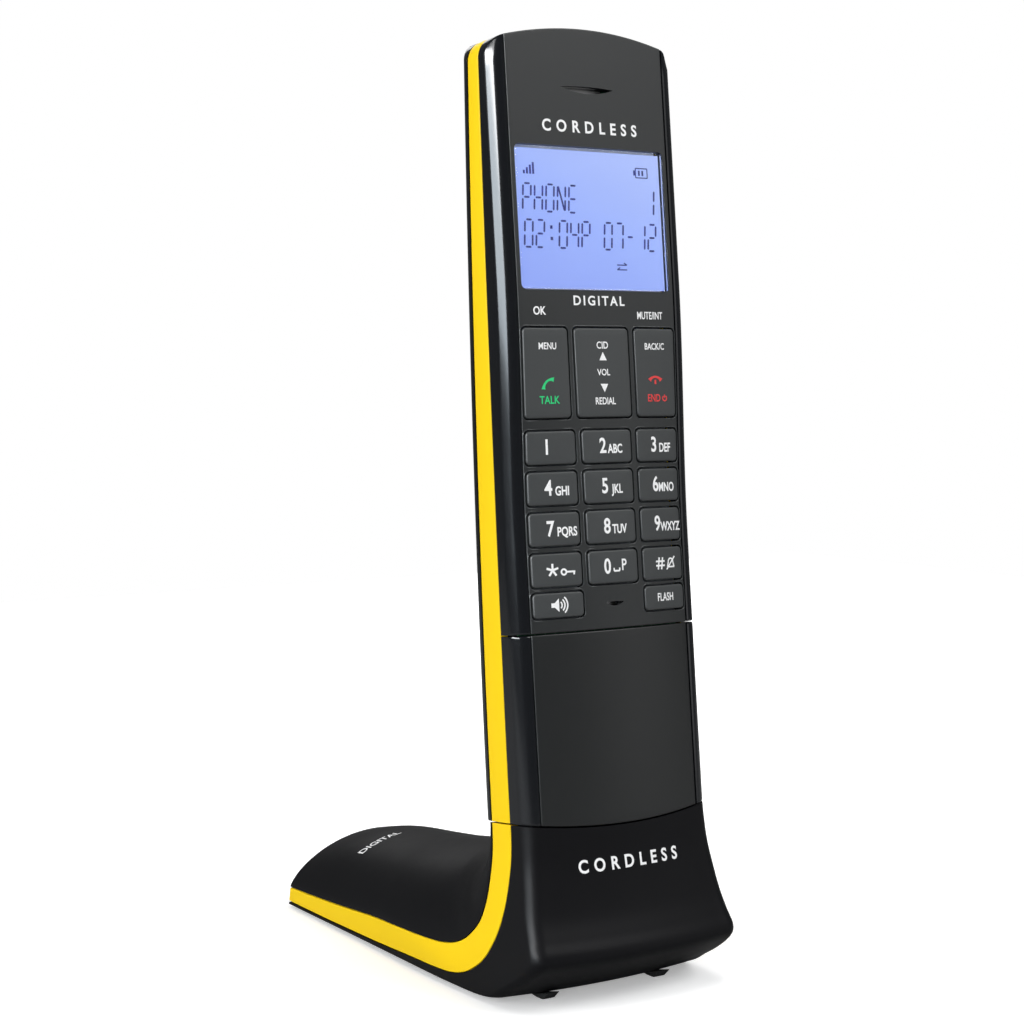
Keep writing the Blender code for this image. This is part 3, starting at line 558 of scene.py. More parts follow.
SEGMENTS = {
    "0": "abcdef", "1": "bc", "2": "abged", "4": "fgbc", "7": "abc", "P": "abefg", "H": "bcefg",
    "O": "abcdef", "N": "bcefn", "E": "adefg", "-": "g", " ": "",
}
SEGMENT_ENDS = {
    "a": (0, 1, 1, 1), "b": (1, 1, 1, 0.5), "c": (1, 0.5, 1, 0), "d": (0, 0, 1, 0), "e": (0, 0.5, 0, 0),
    "f": (0, 1, 0, 0.5), "g": (0, 0.5, 1, 0.5), "n": (0, 1, 1, 0),
}


def stroke(x0, v0, x1, v1, width, depth, point=True, gap=0.3):
    """A straight bar between two points with its ends drawn to points, as a thin closed sheet."""
    start, end = np.array([x0, v0], float), np.array([x1, v1], float)
    along = (end - start) / np.linalg.norm(end - start)
    side = np.array([-along[1], along[0]]) * width / 2
    cap = width / 2 if point else 1e-3
    trim = gap if point else 0.0
    stops = [start + along * trim, start + along * (trim + cap), end - along * (trim + cap),
             end - along * trim]
    wide = [0.12 if point else 1, 1, 1, 0.12 if point else 1]
    flat = np.array([[stop - side * w, stop + side * w] for stop, w in zip(stops, wide)])
    front = np.stack([flat[..., 0], np.full(flat.shape[:2], depth), flat[..., 1]], -1)
    return sheet(front, front + (0, 0.05, 0))


def display_marks(depth=1.49):
    """Signal bars, battery, two lines of segment characters and the small arrows, as dark bars on the
    panel."""
    made = []
    for text, left, low in (("PHONE      1", -18.9, 140.0), ("02:04P 07-12", -18.9, 131.8)):
        wide, tall, pitch, slant = 2.15, 6.2, 3.18, 0.08
        for index, letter in enumerate(text):
            x = left + pitch * index
            if letter == ":":
                for v in (low + 1.7, low + 4.3):
                    made += stroke(x + 1.1 + slant * 2, v, x + 1.1 + slant * 2, v + 0.75, 0.65, depth, False)
                continue
            for code in SEGMENTS[letter]:
                x0, v0, x1, v1 = SEGMENT_ENDS[code]
                made += stroke(x + wide * x0 + slant * tall * v0, low + tall * v0,
                               x + wide * x1 + slant * tall * v1, low + tall * v1, 0.44, depth)
    for k in range(4):
        made += stroke(-18.0 + 0.85 * k, 148.4, -18.0 + 0.85 * k, 149.2 + 0.62 * k, 0.5, depth, False)
    for line in ((13.6, 148.9, 17.0, 148.9), (13.6, 151.1, 17.0, 151.1), (13.6, 148.9, 13.6, 151.1),
                 (17.0, 148.9, 17.0, 151.1)):
        made += stroke(*line, 0.24, depth, False)
    for x in (13.2, 14.6, 15.6):
        made += stroke(x, 149.4, x, 150.6, 0.45, depth, False)
    for v, way in ((128.3, 1), (127.2, -1)):
        made += stroke(6.8, v, 9.6, v, 0.26, depth, False)
        end = 8.2 + 1.4 * way
        made += stroke(end - 0.8 * way, v + 0.5, end, v, 0.26, depth, False)
    return made


# ------------------------------------------------------------------ base

# One row for each station round the L, from the seam to the rear end: half width, front or underside at the
# middle, where its rounding meets the side, the band's two edges, and the neck's back or the foot's top.
BASE_STATIONS = (
    (26.0, (0.0, 0.0), (6.2, 0.0), (9.2, 0.0), (17.0, 0.0), (22.4, 0.0)),
    (26.3, (-0.8, -7.0), (4.8, -7.0), (8.7, -6.5), (16.4, -6.0), (24.0, -5.4)),
    (26.9, (-2.1, -13.0), (3.2, -12.8), (8.8, -12.4), (16.4, -12.0), (27.2, -8.4)),
    (27.7, (-3.8, -19.0), (1.6, -18.5), (9.3, -18.0), (16.8, -17.6), (31.4, -10.4)),
    (28.3, (-5.8, -23.5), (-0.4, -23.0), (10.8, -23.2), (18.6, -22.6), (36.2, -11.6)),
    (28.9, (-7.4, -26.8), (-2.0, -26.4), (12.9, -27.4), (21.4, -25.9), (41.0, -12.4)),
    (29.2, (-7.0, -29.2), (-1.2, -28.9), (15.4, -30.6), (24.8, -28.3), (46.0, -13.0)),
    (29.5, (-3.4, -32.2), (3.0, -32.4), (18.8, -33.3), (28.8, -29.8), (50.0, -13.5)),
    (29.8, (2.6, -35.8), (8.4, -35.6), (22.8, -35.4), (33.6, -30.6), (54.0, -14.0)),
    (30.0, (10.5, -39.5), (15.0, -38.7), (27.6, -36.6), (39.0, -30.9), (58.0, -14.5)),
    (30.0, (25.0, -39.7), (29.0, -39.2), (34.6, -37.1), (46.0, -31.1), (64.0, -15.3)),
    (29.4, (45.0, -39.7), (46.5, -39.2), (48.5, -37.5), (56.0, -31.5), (70.0, -16.1)),
    (28.4, (65.0, -39.7), (65.0, -39.3), (65.0, -38.2), (68.0, -32.1), (77.0, -17.0)),
    (27.4, (85.0, -39.7), (85.0, -39.4), (85.0, -38.6), (86.0, -33.4), (88.0, -18.0)),
    (26.6, (102.0, -39.7), (102.0, -39.5), (102.0, -38.8), (102.0, -34.3), (101.5, -19.2)),
    (26.0, (115.5, -39.7), (115.5, -39.5), (115.3, -38.8), (114.6, -34.8), (113.0, -21.5)),
)
FOOT_BOTTOM = -39.7
BASE_WALL = 2.4


def stations(per_step):
    """The base's rows with a Catmull-Rom curve through each of their columns: half widths, and five (y,
    z) lines."""
    rows = np.array([[half, *a, *b, *c, *d, *e] for half, a, b, c, d, e in BASE_STATIONS])
    padded = np.vstack([2 * rows[0] - rows[1], rows, 2 * rows[-1] - rows[-2]])
    a, b, c, d = (padded[k : k + len(rows) - 1, None] for k in range(4))
    t = (np.arange(per_step) / per_step)[None, :, None]
    curve = b + t * (c - a) / 2 + t * t * (a - 2.5 * b + 2 * c - d / 2) + t**3 * (1.5 * (b - c) + (d - a) / 2)
    table = np.vstack([curve.reshape(-1, rows.shape[1]), rows[-1]])
    return table[:, 0], table[:, 1:].reshape(-1, 5, 2)


def unit(vectors):
    """The vectors at a length of 1."""
    return vectors / np.linalg.norm(vectors, axis=-1, keepdims=True)


def to_seam(grid):
    """The first row of a base grid moved to the seam's ring, where its y is a depth in the handset's
    frame."""
    x, depth = grid[0, :, 0].copy(), grid[0, :, 1].copy()
    v = 2.0 * (x / HALF) ** 2 - 0.175
    grid[0] = np.stack([x, v * sin(LEAN) + depth * cos(LEAN), v * cos(LEAN) - depth * sin(LEAN)], 1)
    return grid


def across(half_x, half_yz):
    """Rows given from the middle to the right side, made into rows from the left side to the right."""
    right = np.concatenate([half_x[..., None], half_yz], -1)
    left = right[:, :0:-1] * (-1, 1, 1)
    return to_seam(np.concatenate([left, right], 1))


def base_front_surface(per_step, inset=0.0):
    """The front and underside: a parabola across, then a quarter round of 3.6 mm, then straight to the
    band."""
    half, lines = stations(per_step)
    middle, turn, edge, other, rear = (lines[:, k] for k in range(5))
    middle = middle + unit(rear - middle) * inset
    turn = turn + (edge - turn) / 2 if inset else turn
    edge = edge - unit(other - edge) * GAP / 2
    corner = 3.6 - inset / 2
    flat = half - inset - corner
    t = np.linspace(0, 1, 12)
    angles = np.linspace(0, pi / 2, 11)[1:]
    share = np.concatenate([0.38 * t**2, 0.38 + 0.62 * (1 - np.cos(angles))])
    x = np.concatenate([flat[:, None] * t, flat[:, None] + corner * np.sin(angles)], 1)
    yz = middle[:, None] + (turn - middle)[:, None] * share[None, :, None]
    x = np.concatenate([x, (half - inset)[:, None]], 1)
    return across(x, np.concatenate([yz, edge[:, None]], 1))


def base_top_surface(per_step, inset=0.0):
    """The neck's back and the foot's top: a superellipse across, flat with rolled sides at the neck and a
    dome on the foot."""
    half, lines = stations(per_step)
    middle, _, edge0, edge, rear = (lines[:, k] for k in range(5))
    share = np.linspace(0, 1, len(half))[:, None]
    rear = rear + unit(middle - rear) * inset
    edge = edge + unit(edge - edge0) * GAP / 2
    flatness = 4 - 2 * smooth(share * 2.2)
    turn = np.linspace(0, pi / 2, 26)[None]
    x = (half - inset)[:, None] * np.sin(turn) ** (2 / flatness)
    fall = np.clip(np.cos(turn), 0, None) ** (1.2 + 0.2 * share)
    return across(x, edge[:, None] + (rear - edge)[:, None] * fall[..., None])


def base_band(per_step, side):
    """One coloured band: a rectangle with rounded outer edges, carried along the base's side."""
    half, lines = stations(per_step)
    edge0, edge1 = lines[:, 2], lines[:, 3]
    way = unit(edge1 - edge0)
    turns = np.linspace(0, pi / 2, 6)
    rise, fall = BAND_ROUND * (1 - np.cos(turns)), BAND_ROUND * (1 - np.sin(turns))
    inset = np.concatenate([[BASE_WALL], fall, rise, [BASE_WALL]])
    low, high = np.concatenate([[0], rise]), np.concatenate([fall, [0]])
    yz = np.concatenate([edge0[:, None] + way[:, None] * (GAP / 2 + low)[None, :, None],
                         edge1[:, None] - way[:, None] * (GAP / 2 + high)[None, :, None]], 1)
    x = half[:, None] - inset[None]
    grid = to_seam(np.concatenate([x[..., None], yz], -1))
    return grid * (side, 1, 1)


def base_housing():
    """The base's two shells and both bands, with the underside's wells and the page button's opening."""
    outer, inner = base_front_surface(8), base_front_surface(8, BASE_WALL)
    front = piece("base_front_housing", sheet(outer, inner), "base", "Satin black",
                  ["base_front_shell"], 25, base_points)
    (screw_x, screw_y), (foot_x, foot_y) = BASE_SCREW, REAR_FOOT
    below = FOOT_BOTTOM - 5
    wells = [(circle(side * screw_x, screw_y, 2.7), below, FOOT_BOTTOM + 0.8) for side in (-1, 1)]
    pads = [(circle(side * foot_x, foot_y, 4.3), below, FOOT_BOTTOM + 0.7) for side in (-1, 1)]
    holes = [(circle(side * screw_x, screw_y, 1.5), below, FOOT_BOTTOM + 6) for side in (-1, 1)]
    cut(front, cutter("underside_wells", wells + pads, 2, base_points))
    cut(front, cutter("underside_holes", holes, 2, base_points))
    outer, inner = base_top_surface(8), base_top_surface(8, BASE_WALL)
    top = piece("base_top_housing", sheet(outer, inner), "base", "Satin black",
                ["base_top_shell"], 25, base_points)
    cut(top, cutter("page_button_opening", [(circle(*PAGE_BUTTON, 4.9, 64), -24, 0)], 2, base_points))
    for name, side in SIDES:
        piece(f"base_colour_band_{name}", [(disc_ends(base_band(8, side)), True)], "base", "Coloured gloss",
              [f"base_band_{name}"], 32, base_points)


# ------------------------------------------------------------------ turned pieces, feet and fastenings


def turned(centre, profile, axis, sides=40):
    """A round piece: its profile of (radius, level) is turned about the axis, and drawn in to a point at
    each end."""
    profile = np.asarray(profile, float)
    turns = np.arange(sides) * 2 * pi / sides
    ring = np.stack([np.cos(turns), np.sin(turns)], 1)
    flat = np.asarray(centre) + ring[None] * profile[:, 0, None, None]
    level = np.broadcast_to(profile[:, 1, None], flat.shape[:2])
    rings = np.stack([flat[..., 0], flat[..., 1]], -1)
    rings = np.insert(rings, axis, level, axis=2)
    return disc_ends(rings), True


def page_button():
    """The button on the neck's foot: a dished cap with a rolled rim."""
    t = np.linspace(0, pi / 2, 6)
    rim = np.stack([4.5 - 0.6 * (1 - np.cos(t)), -13.1 + 0.6 * np.sin(t)], 1)
    dish = np.stack([np.linspace(3.7, 0.2, 8), -12.5 - 0.5 * (1 - (np.linspace(3.7, 0.2, 8) / 3.7) ** 2)], 1)
    profile = np.concatenate([[(4.5, -17.0)], rim, dish])
    cap = turned(PAGE_BUTTON, profile, 2, 48)
    piece("page_button_cap", [cap], "page_button", "Satin black", ["page_button"], 35,
          base_points)


def feet():
    """Two round rubber feet with a ridge and a hollow, and two wedges under the front edge."""
    table = -SEAM_Z
    pad = [(2.2, table + 0.35), (2.6, table + 0.05), (3.0, table), (3.6, table), (3.9, table + 0.1),
           (4.0, table + 0.4), (4.0, -39.3)]
    wedge = np.array([(6.2, -38.3), (7.4, -39.4), (8.3, -40.25), (8.8, table), (10.8, table), (11.4, -40.37),
                      (13.6, -40.1)])
    for name, side in SIDES:
        centre = (side * REAR_FOOT[0], REAR_FOOT[1])
        piece(f"rear_foot_pad_{name}", [turned(centre, pad, 2, 48)], "base", "Soft rubber",
              [f"rear_foot_{name}"], 30, base_points)
        x = side * FRONT_FOOT + np.array([-1.6, -1.45, -1.2, 1.2, 1.45, 1.6])
        draw = np.array([0.25, 0.08, 0, 0, 0.08, 0.25])
        middle = wedge.mean(0)
        flat = wedge[None] + (middle - wedge)[None] * draw[:, None, None] * 0.35
        rings = np.concatenate([np.broadcast_to(x[:, None, None], (6, 7, 1)), flat], -1)
        piece(f"front_foot_wedge_{name}", [(disc_ends(rings), True)], "base", "Soft rubber",
              [f"front_foot_{name}"], 40, base_points)


def screw(name, centre, profile, axis, cross, body, replaced, angle=32, place=handset_points):
    """A screw turned from its profile, with a cross of two bars cut into its head between two levels."""
    made = piece(name, [turned(centre, profile, axis)], body, "Plated screw", [replaced], angle,
                 place)
    low, high = cross
    x, y = centre
    for wide, tall, more in ((1.35, 0.3, 0), (0.3, 1.35, 0.01)):
        bar = (rounded(x - wide, y - tall, x + wide, y + tall, 0.1, 2), low - more, high + more)
        cut(made, cutter("cross", [bar], axis, place))


def screws():
    """Four cross-head screws: a domed head over a plain shank, with a cross cut into it."""
    dome = np.linspace(0, pi / 2, 7)
    head, low = FOOT_BOTTOM + 0.5, well_depth() - 0.5
    across_head = 2.2 * np.cos(dome) + 0.01
    under = np.stack([across_head, head - 0.1 - 0.3 * np.sin(dome)], 1)[::-1]
    under = np.concatenate([under, [(2.2, head), (1.1, head), (1.1, head + 5)]])
    behind = np.stack([across_head, low + 0.1 + 0.3 * np.sin(dome)], 1)
    behind = np.concatenate([[(1.1, low - 4.5), (1.1, low), (2.2, low)], behind])
    for name, side in SIDES:
        centre = (side * BASE_SCREW[0], BASE_SCREW[1])
        screw(f"base_screw_head_{name}", centre, under, 2, (head - 2, head - 0.1), "base",
              f"base_screw_{name}", 30, base_points)
        centre = (side * HANDSET_SCREW[0], HANDSET_SCREW[1])
        screw(f"handset_screw_head_{name}", centre, behind, 1, (low + 0.12, low + 3), "handset",
              f"handset_screw_{name}")


def docking_tongue():
    """The base's hollow tongue: a rounded rectangle with a rolled top edge, and a hole for each charging
    pin."""
    t = np.linspace(0, pi / 2, 6)
    outer = [(0.0, -8.0)] + [(0.6 * (1 - cos(a)), 8.9 + 0.6 * sin(a)) for a in t]
    rings = []
    for inset, level in outer:
        line = rounded(inset - 22.6, 6 + inset, 22.6 - inset, 17.3 - inset, 3 - inset)
        rings.append(np.insert(line, 2, level, axis=1))
    middle = (0, 11.65, 9.5)
    rings.append(np.broadcast_to(middle, rings[0].shape))
    inner = rounded(-21.0, 7.6, 21.0, 15.7, 1.4)
    low, high = np.insert(inner, 2, -8.0, axis=1), np.insert(inner, 2, 7.9, axis=1)
    hollow = np.stack([low, high, np.broadcast_to((0, 11.65, 7.9), low.shape)])
    grids = [(np.stack(rings), True), (hollow, True), (np.stack([rings[0], low]), True)]
    tongue = piece("docking_tongue_cover", grids, "base", "Satin black", ["docking_tongue"])
    x, d = CHARGE_PIN
    cut(tongue, cutter("pin_holes", [(circle(side * x, d, 1.3), 2, 14) for side in (-1, 1)], 2))


def charging_pins():
    """Two sprung pins with rounded tips, which ride on their own bodies."""
    t = np.linspace(0, pi / 2, 8)
    tip = 12.0 - 2.5 * GAP - 0.25
    dome = np.stack([np.cos(t) + 0.01, tip - 0.9 + 0.9 * np.sin(t)], 1)
    profile = np.concatenate([[(1.0, 3.0), (1.0, tip - 0.9)], dome])
    for name, side in SIDES:
        tip = turned((side * CHARGE_PIN[0], CHARGE_PIN[1]), profile, 2, 32)
        piece(f"charge_pin_tip_{name}", [tip], f"charge_pin_{name}", "Plated contact",
              [f"charge_pin_{name}"])


def battery_cells():
    """Two rechargeable cells: a sleeve with rolled shoulders, a bare ring and a raised button."""
    profile = [(5.0, 20.8), (5.25, 21.1), (5.25, 64.0), (5.1, 64.3), (4.7, 64.4), (3.2, 64.35), (3.1, 64.2),
               (2.1, 64.2), (1.9, 64.4), (1.9, 65.4), (1.7, 65.6)]
    for name, x in (("left", -6.2), ("right", 6.2)):
        piece(f"battery_cell_sleeve_{name}", [turned((x, 13.6), profile, 2, 48)], "handset", "Cell sleeve",
              [f"battery_cell_{name}"])


def line_contacts():
    """The line socket's four sprung wires: thin square bars that slope down into the socket."""
    wires = []
    for k in range(4):
        x = -8.8 - 1.53 + 1.02 * k
        low, high = np.array([x - 0.14, 103.2, -30.1]), np.array([x - 0.14, 110.6, -32.4])
        corner = np.array([(0, 0, 0), (0.28, 0, 0), (0.28, 0, 0.28), (0, 0, 0.28)])
        wires.append((disc_ends(np.stack([low + corner, high + corner])), True))
    piece("line_socket_wires", wires, "base", "Plated contact", (), 30, base_points)


# ------------------------------------------------------------------ markings


def written(words, height, stretch, spacing, weight):
    """The outlines of a short word as one thin closed mesh, centred, in millimetres: points and faces."""
    text = bpy.data.curves.new("word", "FONT")
    text.body, text.size = words, height * 1.38
    text.align_x, text.align_y = "CENTER", "CENTER"
    text.space_character, text.offset, text.extrude, text.resolution_u = spacing, weight, 0.012, 4
    holder = bpy.data.objects.new("word", text)
    bpy.context.scene.collection.objects.link(holder)
    bpy.context.view_layer.update()
    mesh = bpy.data.meshes.new_from_object(holder.evaluated_get(bpy.context.evaluated_depsgraph_get()))
    work = bmesh.new()
    work.from_mesh(mesh)
    bmesh.ops.remove_doubles(work, verts=work.verts, dist=1e-5)
    bmesh.ops.triangulate(work, faces=work.faces)
    work.to_mesh(mesh)
    work.free()
    points = np.empty(len(mesh.vertices) * 3)
    mesh.vertices.foreach_get("co", points)
    points = points.reshape(-1, 3) * (stretch, 1, 1)
    faces = np.empty(len(mesh.polygons) * 3, np.int32)
    mesh.polygons.foreach_get("vertices", faces)
    bpy.data.objects.remove(holder)
    bpy.data.meshes.remove(mesh)
    return points, faces.reshape(-1, 3)


def bar_shape(edges):
    """A flat band between two edge lines, as a thin closed mesh in the same form as a word."""
    flat = np.asarray(edges, float)
    front = np.concatenate([flat, np.full((*flat.shape[:2], 1), 0.012)], -1)
    return merge(sheet(front, front - (0, 0, 0.024)))


def arc_band(x, v, radius, width, start, end, steps=20, ends=0.0):
    """A band along a circle between two angles, its width growing by ends towards both of its tips."""
    turn = np.linspace(radians(start), radians(end), steps)
    away = np.abs(np.linspace(-1, 1, steps)) ** 3
    half = width / 2 + ends * away
    ray = np.stack([np.cos(turn), np.sin(turn)], 1)
    return bar_shape(np.stack([(x, v) + ray * (radius + way * half)[:, None] for way in (-1, 1)], 1))


def straight(x0, v0, x1, v1, width, end_width=None):
    """A straight band from one point to another, which may narrow to the end width."""
    start, end = np.array([x0, v0], float), np.array([x1, v1], float)
    along = (end - start) / np.linalg.norm(end - start)
    side = np.array([-along[1], along[0]]) / 2
    last = width if end_width is None else end_width
    return bar_shape([[start - side * width, start + side * width], [end - side * last, end + side * last]])


def marking(name, shapes, surface, body, look):
    """Printed marks: each flat shape is laid on a surface, where surface(points) gives its places in
    millimetres."""
    points, faces, start = [], [], 0
    for (flat, corners), (x, v), turned in shapes:
        moved = flat.copy()
        if turned:
            c, s = cos(radians(turned)), sin(radians(turned))
            moved[:, :2] = flat[:, :2] @ np.array([[c, s], [-s, c]])
        moved[:, :2] += (x, v)
        points.append(moved)
        faces += (np.asarray(corners) + start).tolist()
        start += len(flat)
    points = np.concatenate(points)
    mesh = bpy.data.meshes.new(name)
    mesh.from_pydata(surface(points).tolist(), [], faces)
    work = bmesh.new()
    work.from_mesh(mesh)
    bmesh.ops.remove_doubles(work, verts=work.verts, dist=1e-7)
    bmesh.ops.recalc_face_normals(work, faces=work.faces)
    work.to_mesh(mesh)
    work.free()
    obj = bpy.data.objects.new(name, mesh)
    bpy.context.scene.collection.objects.link(obj)
    return dress(obj, body, look)


def on_plate(points, proud=0.02):
    """Flat marks laid on the faceplate's parabola."""
    x, v = points[:, 0], points[:, 1]
    return handset_points(np.stack([x, face(x, v) - proud - points[:, 2], v], 1))


def on_key(points):
    """Flat marks laid on a key's top, 0.35 in front of the faceplate's parabola."""
    return on_plate(points, 0.37)


def on_base_front(points):
    """Flat marks laid on the base's front: the middle line's y at that height, and the side's crown
    across."""
    rows = np.array([[s[0], *s[1], *s[2]] for s in BASE_STATIONS[:6]])
    x, z = points[:, 0], points[:, 1]
    line = [np.interp(-z, -rows[:, 2], rows[:, k]) for k in (0, 1, 3)]
    y = line[1] + (line[2] - line[1]) * 0.38 * (x / (line[0] - 3.6)) ** 2
    return base_points(np.stack([x, y - 0.03 - points[:, 2], z], 1))


def on_foot(points):
    """Flat marks laid on the foot's dome, (1 - (x/half)^2) to the power 0.685 between its edge and its
    crest."""
    x, y = points[:, 0], points[:, 1]
    rows = np.array([[s[0], s[4][0], s[4][1], s[5][0], s[5][1]] for s in BASE_STATIONS])
    half = np.interp(y, rows[:, 3], rows[:, 0])
    edge, crest = np.interp(y, rows[:, 1], rows[:, 2]), np.interp(y, rows[:, 3], rows[:, 4])
    z = edge + (crest - edge) * (1 - (x / half) ** 2) ** 0.685
    return base_points(np.stack([x, y, z + 0.12 + points[:, 2]], 1))


def place_word(words, height, x, v, stretch=0.86, spacing=1.0, weight=0.02):
    """A word centred on a place, its strokes thickened by a share of its height."""
    return at_rest(written(words, height, stretch, spacing, weight * height), x, v)


def at_rest(shape, x=0.0, v=0.0, turned=0.0):
    """A flat shape with its place and its turn in degrees."""
    return (shape, (x, v), turned)


def lever(x, v, turned):
    """A small handset: a band along an arc with thick ends."""
    return at_rest(arc_band(0, -1.5, 2.3, 0.5, 40, 140, ends=0.28), x, v, turned)


def markings():
    """Numbers, letters and small signs on the keys, plate, base front and foot, all of them generic."""
    spans = dict(zip(KEY_NAMES, key_spans()))
    letters = dict(zip("23456789", ("ABC", "DEF", "GHI", "JKL", "MNO", "PQRS", "TUV", "WXYZ")))
    for digit in "123456789":
        x0, v0, x1, v1 = spans["key_" + digit]
        x, v = x0 + 0.4 * (x1 - x0), (v0 + v1) / 2
        shapes = [place_word(digit, 3.5, x, v, 0.8, weight=0.03)]
        if digit in letters:
            beside = x + 1.25 + 0.74 * len(letters[digit])
            shapes.append(place_word(letters[digit], 2.1, beside, v - 0.68, 0.74, weight=0.035))
        marking(f"key_{digit}_mark", shapes, on_key, "key_" + digit, "White marking")
    x0, v0, x1, v1 = spans["key_star"]
    x, v = x0 + 0.4 * (x1 - x0), (v0 + v1) / 2
    rays = [straight(0, 0, 1.5 * cos(t), 1.5 * sin(t), 0.5) for t in np.radians([90, 162, 234, 306, 18])]
    shapes = [at_rest(ray, x, v) for ray in rays]
    shapes += [at_rest(arc_band(0, 0, 0.62, 0.42, 0, 360), x + 2.8, v - 0.5),
               at_rest(straight(0.6, 0, 2.9, 0, 0.42), x + 2.8, v - 0.5),
               at_rest(straight(2.6, 0, 2.6, -0.7, 0.4), x + 2.8, v - 0.5)]
    marking("key_star_mark", shapes, on_key, "key_star", "White marking")
    shapes = [place_word("0", 3.5, -1.9, 58.7, 0.8, weight=0.03), place_word("P", 2.7, 2.8, 58.9, 0.8),
              at_rest(straight(-0.1, 57.7, 1.5, 57.7, 0.4)), at_rest(straight(-0.1, 57.7, -0.1, 58.4, 0.35)),
              at_rest(straight(1.5, 57.7, 1.5, 58.4, 0.35))]
    marking("key_0_mark", shapes, on_key, "key_0", "White marking")
    x0, v0, x1, v1 = spans["key_hash"]
    x, v = x0 + 0.42 * (x1 - x0), (v0 + v1) / 2
    shapes = [at_rest(straight(-1.4, dv, 1.4, dv, 0.42), x, v) for dv in (-0.5, 0.5)]
    shapes += [at_rest(straight(dx - 0.25, -1.4, dx + 0.25, 1.4, 0.42), x, v) for dx in (-0.55, 0.55)]
    shapes += [at_rest(arc_band(0, 0, 0.75, 0.36, 0, 180), x + 3.4, v + 0.3),
               at_rest(straight(-0.75, 0.3, -1.1, -0.9, 0.34), x + 3.4, v),
               at_rest(straight(0.75, 0.3, 1.1, -0.9, 0.34), x + 3.4, v),
               at_rest(straight(-1.2, -0.9, 1.2, -0.9, 0.36), x + 3.4, v),
               at_rest(straight(-1.4, -1.5, 1.4, 1.5, 0.36), x + 3.4, v)]
    marking("key_hash_mark", shapes, on_key, "key_hash", "White marking")
    x, v = -15.2, 50.8
    shapes = [at_rest(bar_shape([[(-1.9, -0.5), (-1.9, 0.5)], [(-1.1, -0.5), (-1.1, 0.5)],
                                 [(0, -1.5), (0, 1.5)]]), x, v)]
    shapes += [at_rest(arc_band(-0.2, 0, r, 0.34, -48, 48), x, v) for r in (0.95, 1.65, 2.35)]
    marking("speaker_key_mark", shapes, on_key, "speaker_key", "White marking")
    shapes = [place_word("FLASH", 1.9, 15.2, 50.8, 0.72)]
    marking("flash_key_mark", shapes, on_key, "flash_key", "White marking")
    shapes = [place_word("MENU", 1.55, -15.1, 109.2, 0.82)]
    marking("menu_mark", shapes, on_key, "menu_talk_key", "White marking")
    shapes = [lever(-15.2, 100.6, 38), place_word("TALK", 1.8, -15.1, 97.0, 0.86)]
    marking("talk_mark", shapes, on_key, "menu_talk_key", "Green marking")
    shapes = [place_word("CID", 1.65, 0, 109.4, 0.86), place_word("VOL", 1.5, 0, 103.2, 0.9),
              place_word("REDIAL", 1.65, 0.1, 96.6, 0.78),
              at_rest(straight(0, 106.0, 0, 107.9, 2.1, 0.02)),
              at_rest(straight(0, 100.6, 0, 98.7, 2.1, 0.02))]
    marking("navigation_mark", shapes, on_key, "navigation_key", "White marking")
    shapes = [place_word("BACK/C", 1.55, 15.3, 109.2, 0.78)]
    marking("back_mark", shapes, on_key, "back_end_key", "White marking")
    shapes = [lever(15.2, 101.4, 0), at_rest(straight(15.2, 101.5, 15.2, 100.5, 0.5)),
              place_word("END", 1.75, 14.6, 97.2, 0.82), at_rest(arc_band(17.9, 97.2, 0.6, 0.3, -235, 55)),
              at_rest(straight(17.9, 97.3, 17.9, 98.1, 0.28))]
    marking("end_mark", shapes, on_key, "back_end_key", "Red marking")
    shapes = [place_word("OK", 1.9, -16.6, 117.2, 0.86, weight=0.03),
              place_word("MUTE/INT", 1.75, 14.6, 116.4, 0.7),
              place_word("DIGITAL", 2.2, 0, 119.6, 1.0, 1.35, 0.03),
              place_word("CORDLESS", 2.7, 0.2, 159.4, 0.95, 1.8, 0.035)]
    marking("plate_mark", shapes, on_plate, "handset", "White marking")
    marking("base_mark", [place_word("CORDLESS", 2.9, 0, -8.6, 0.95, 1.75, 0.035)], on_base_front, "base",
            "White marking")
    marking("foot_mark", [place_word("DIGITAL", 2.6, -11.0, 93.0, 0.9)], on_foot, "base", "White marking")


# ------------------------------------------------------------------ finishes


def maths(tree, operation, a, b):
    """A maths node on two links or numbers; returns its result."""
    node = tree.nodes.new("ShaderNodeMath")
    node.operation = operation
    for slot, value in zip(node.inputs, (a, b)):
        if isinstance(value, (int, float)):
            slot.default_value = value
        else:
            tree.links.new(value, slot)
    return node.outputs[0]


def noise(tree, vector, scale, detail=3.0, rough=0.55):
    """A noise texture on a vector; scale is a number or a link. Returns its value."""
    node = tree.nodes.new("ShaderNodeTexNoise")
    node.inputs["Detail"].default_value = detail
    node.inputs["Roughness"].default_value = rough
    if isinstance(scale, (int, float)):
        node.inputs["Scale"].default_value = scale
    else:
        tree.links.new(scale, node.inputs["Scale"])
    tree.links.new(vector, node.inputs["Vector"])
    return node.outputs["Fac"]


def stretched(tree, factors):
    """Object coordinates stretched by the factors."""
    where = tree.nodes.new("ShaderNodeTexCoord").outputs["Object"]
    mapping = tree.nodes.new("ShaderNodeMapping")
    mapping.inputs["Scale"].default_value = factors
    tree.links.new(where, mapping.inputs["Vector"])
    return mapping.outputs["Vector"]


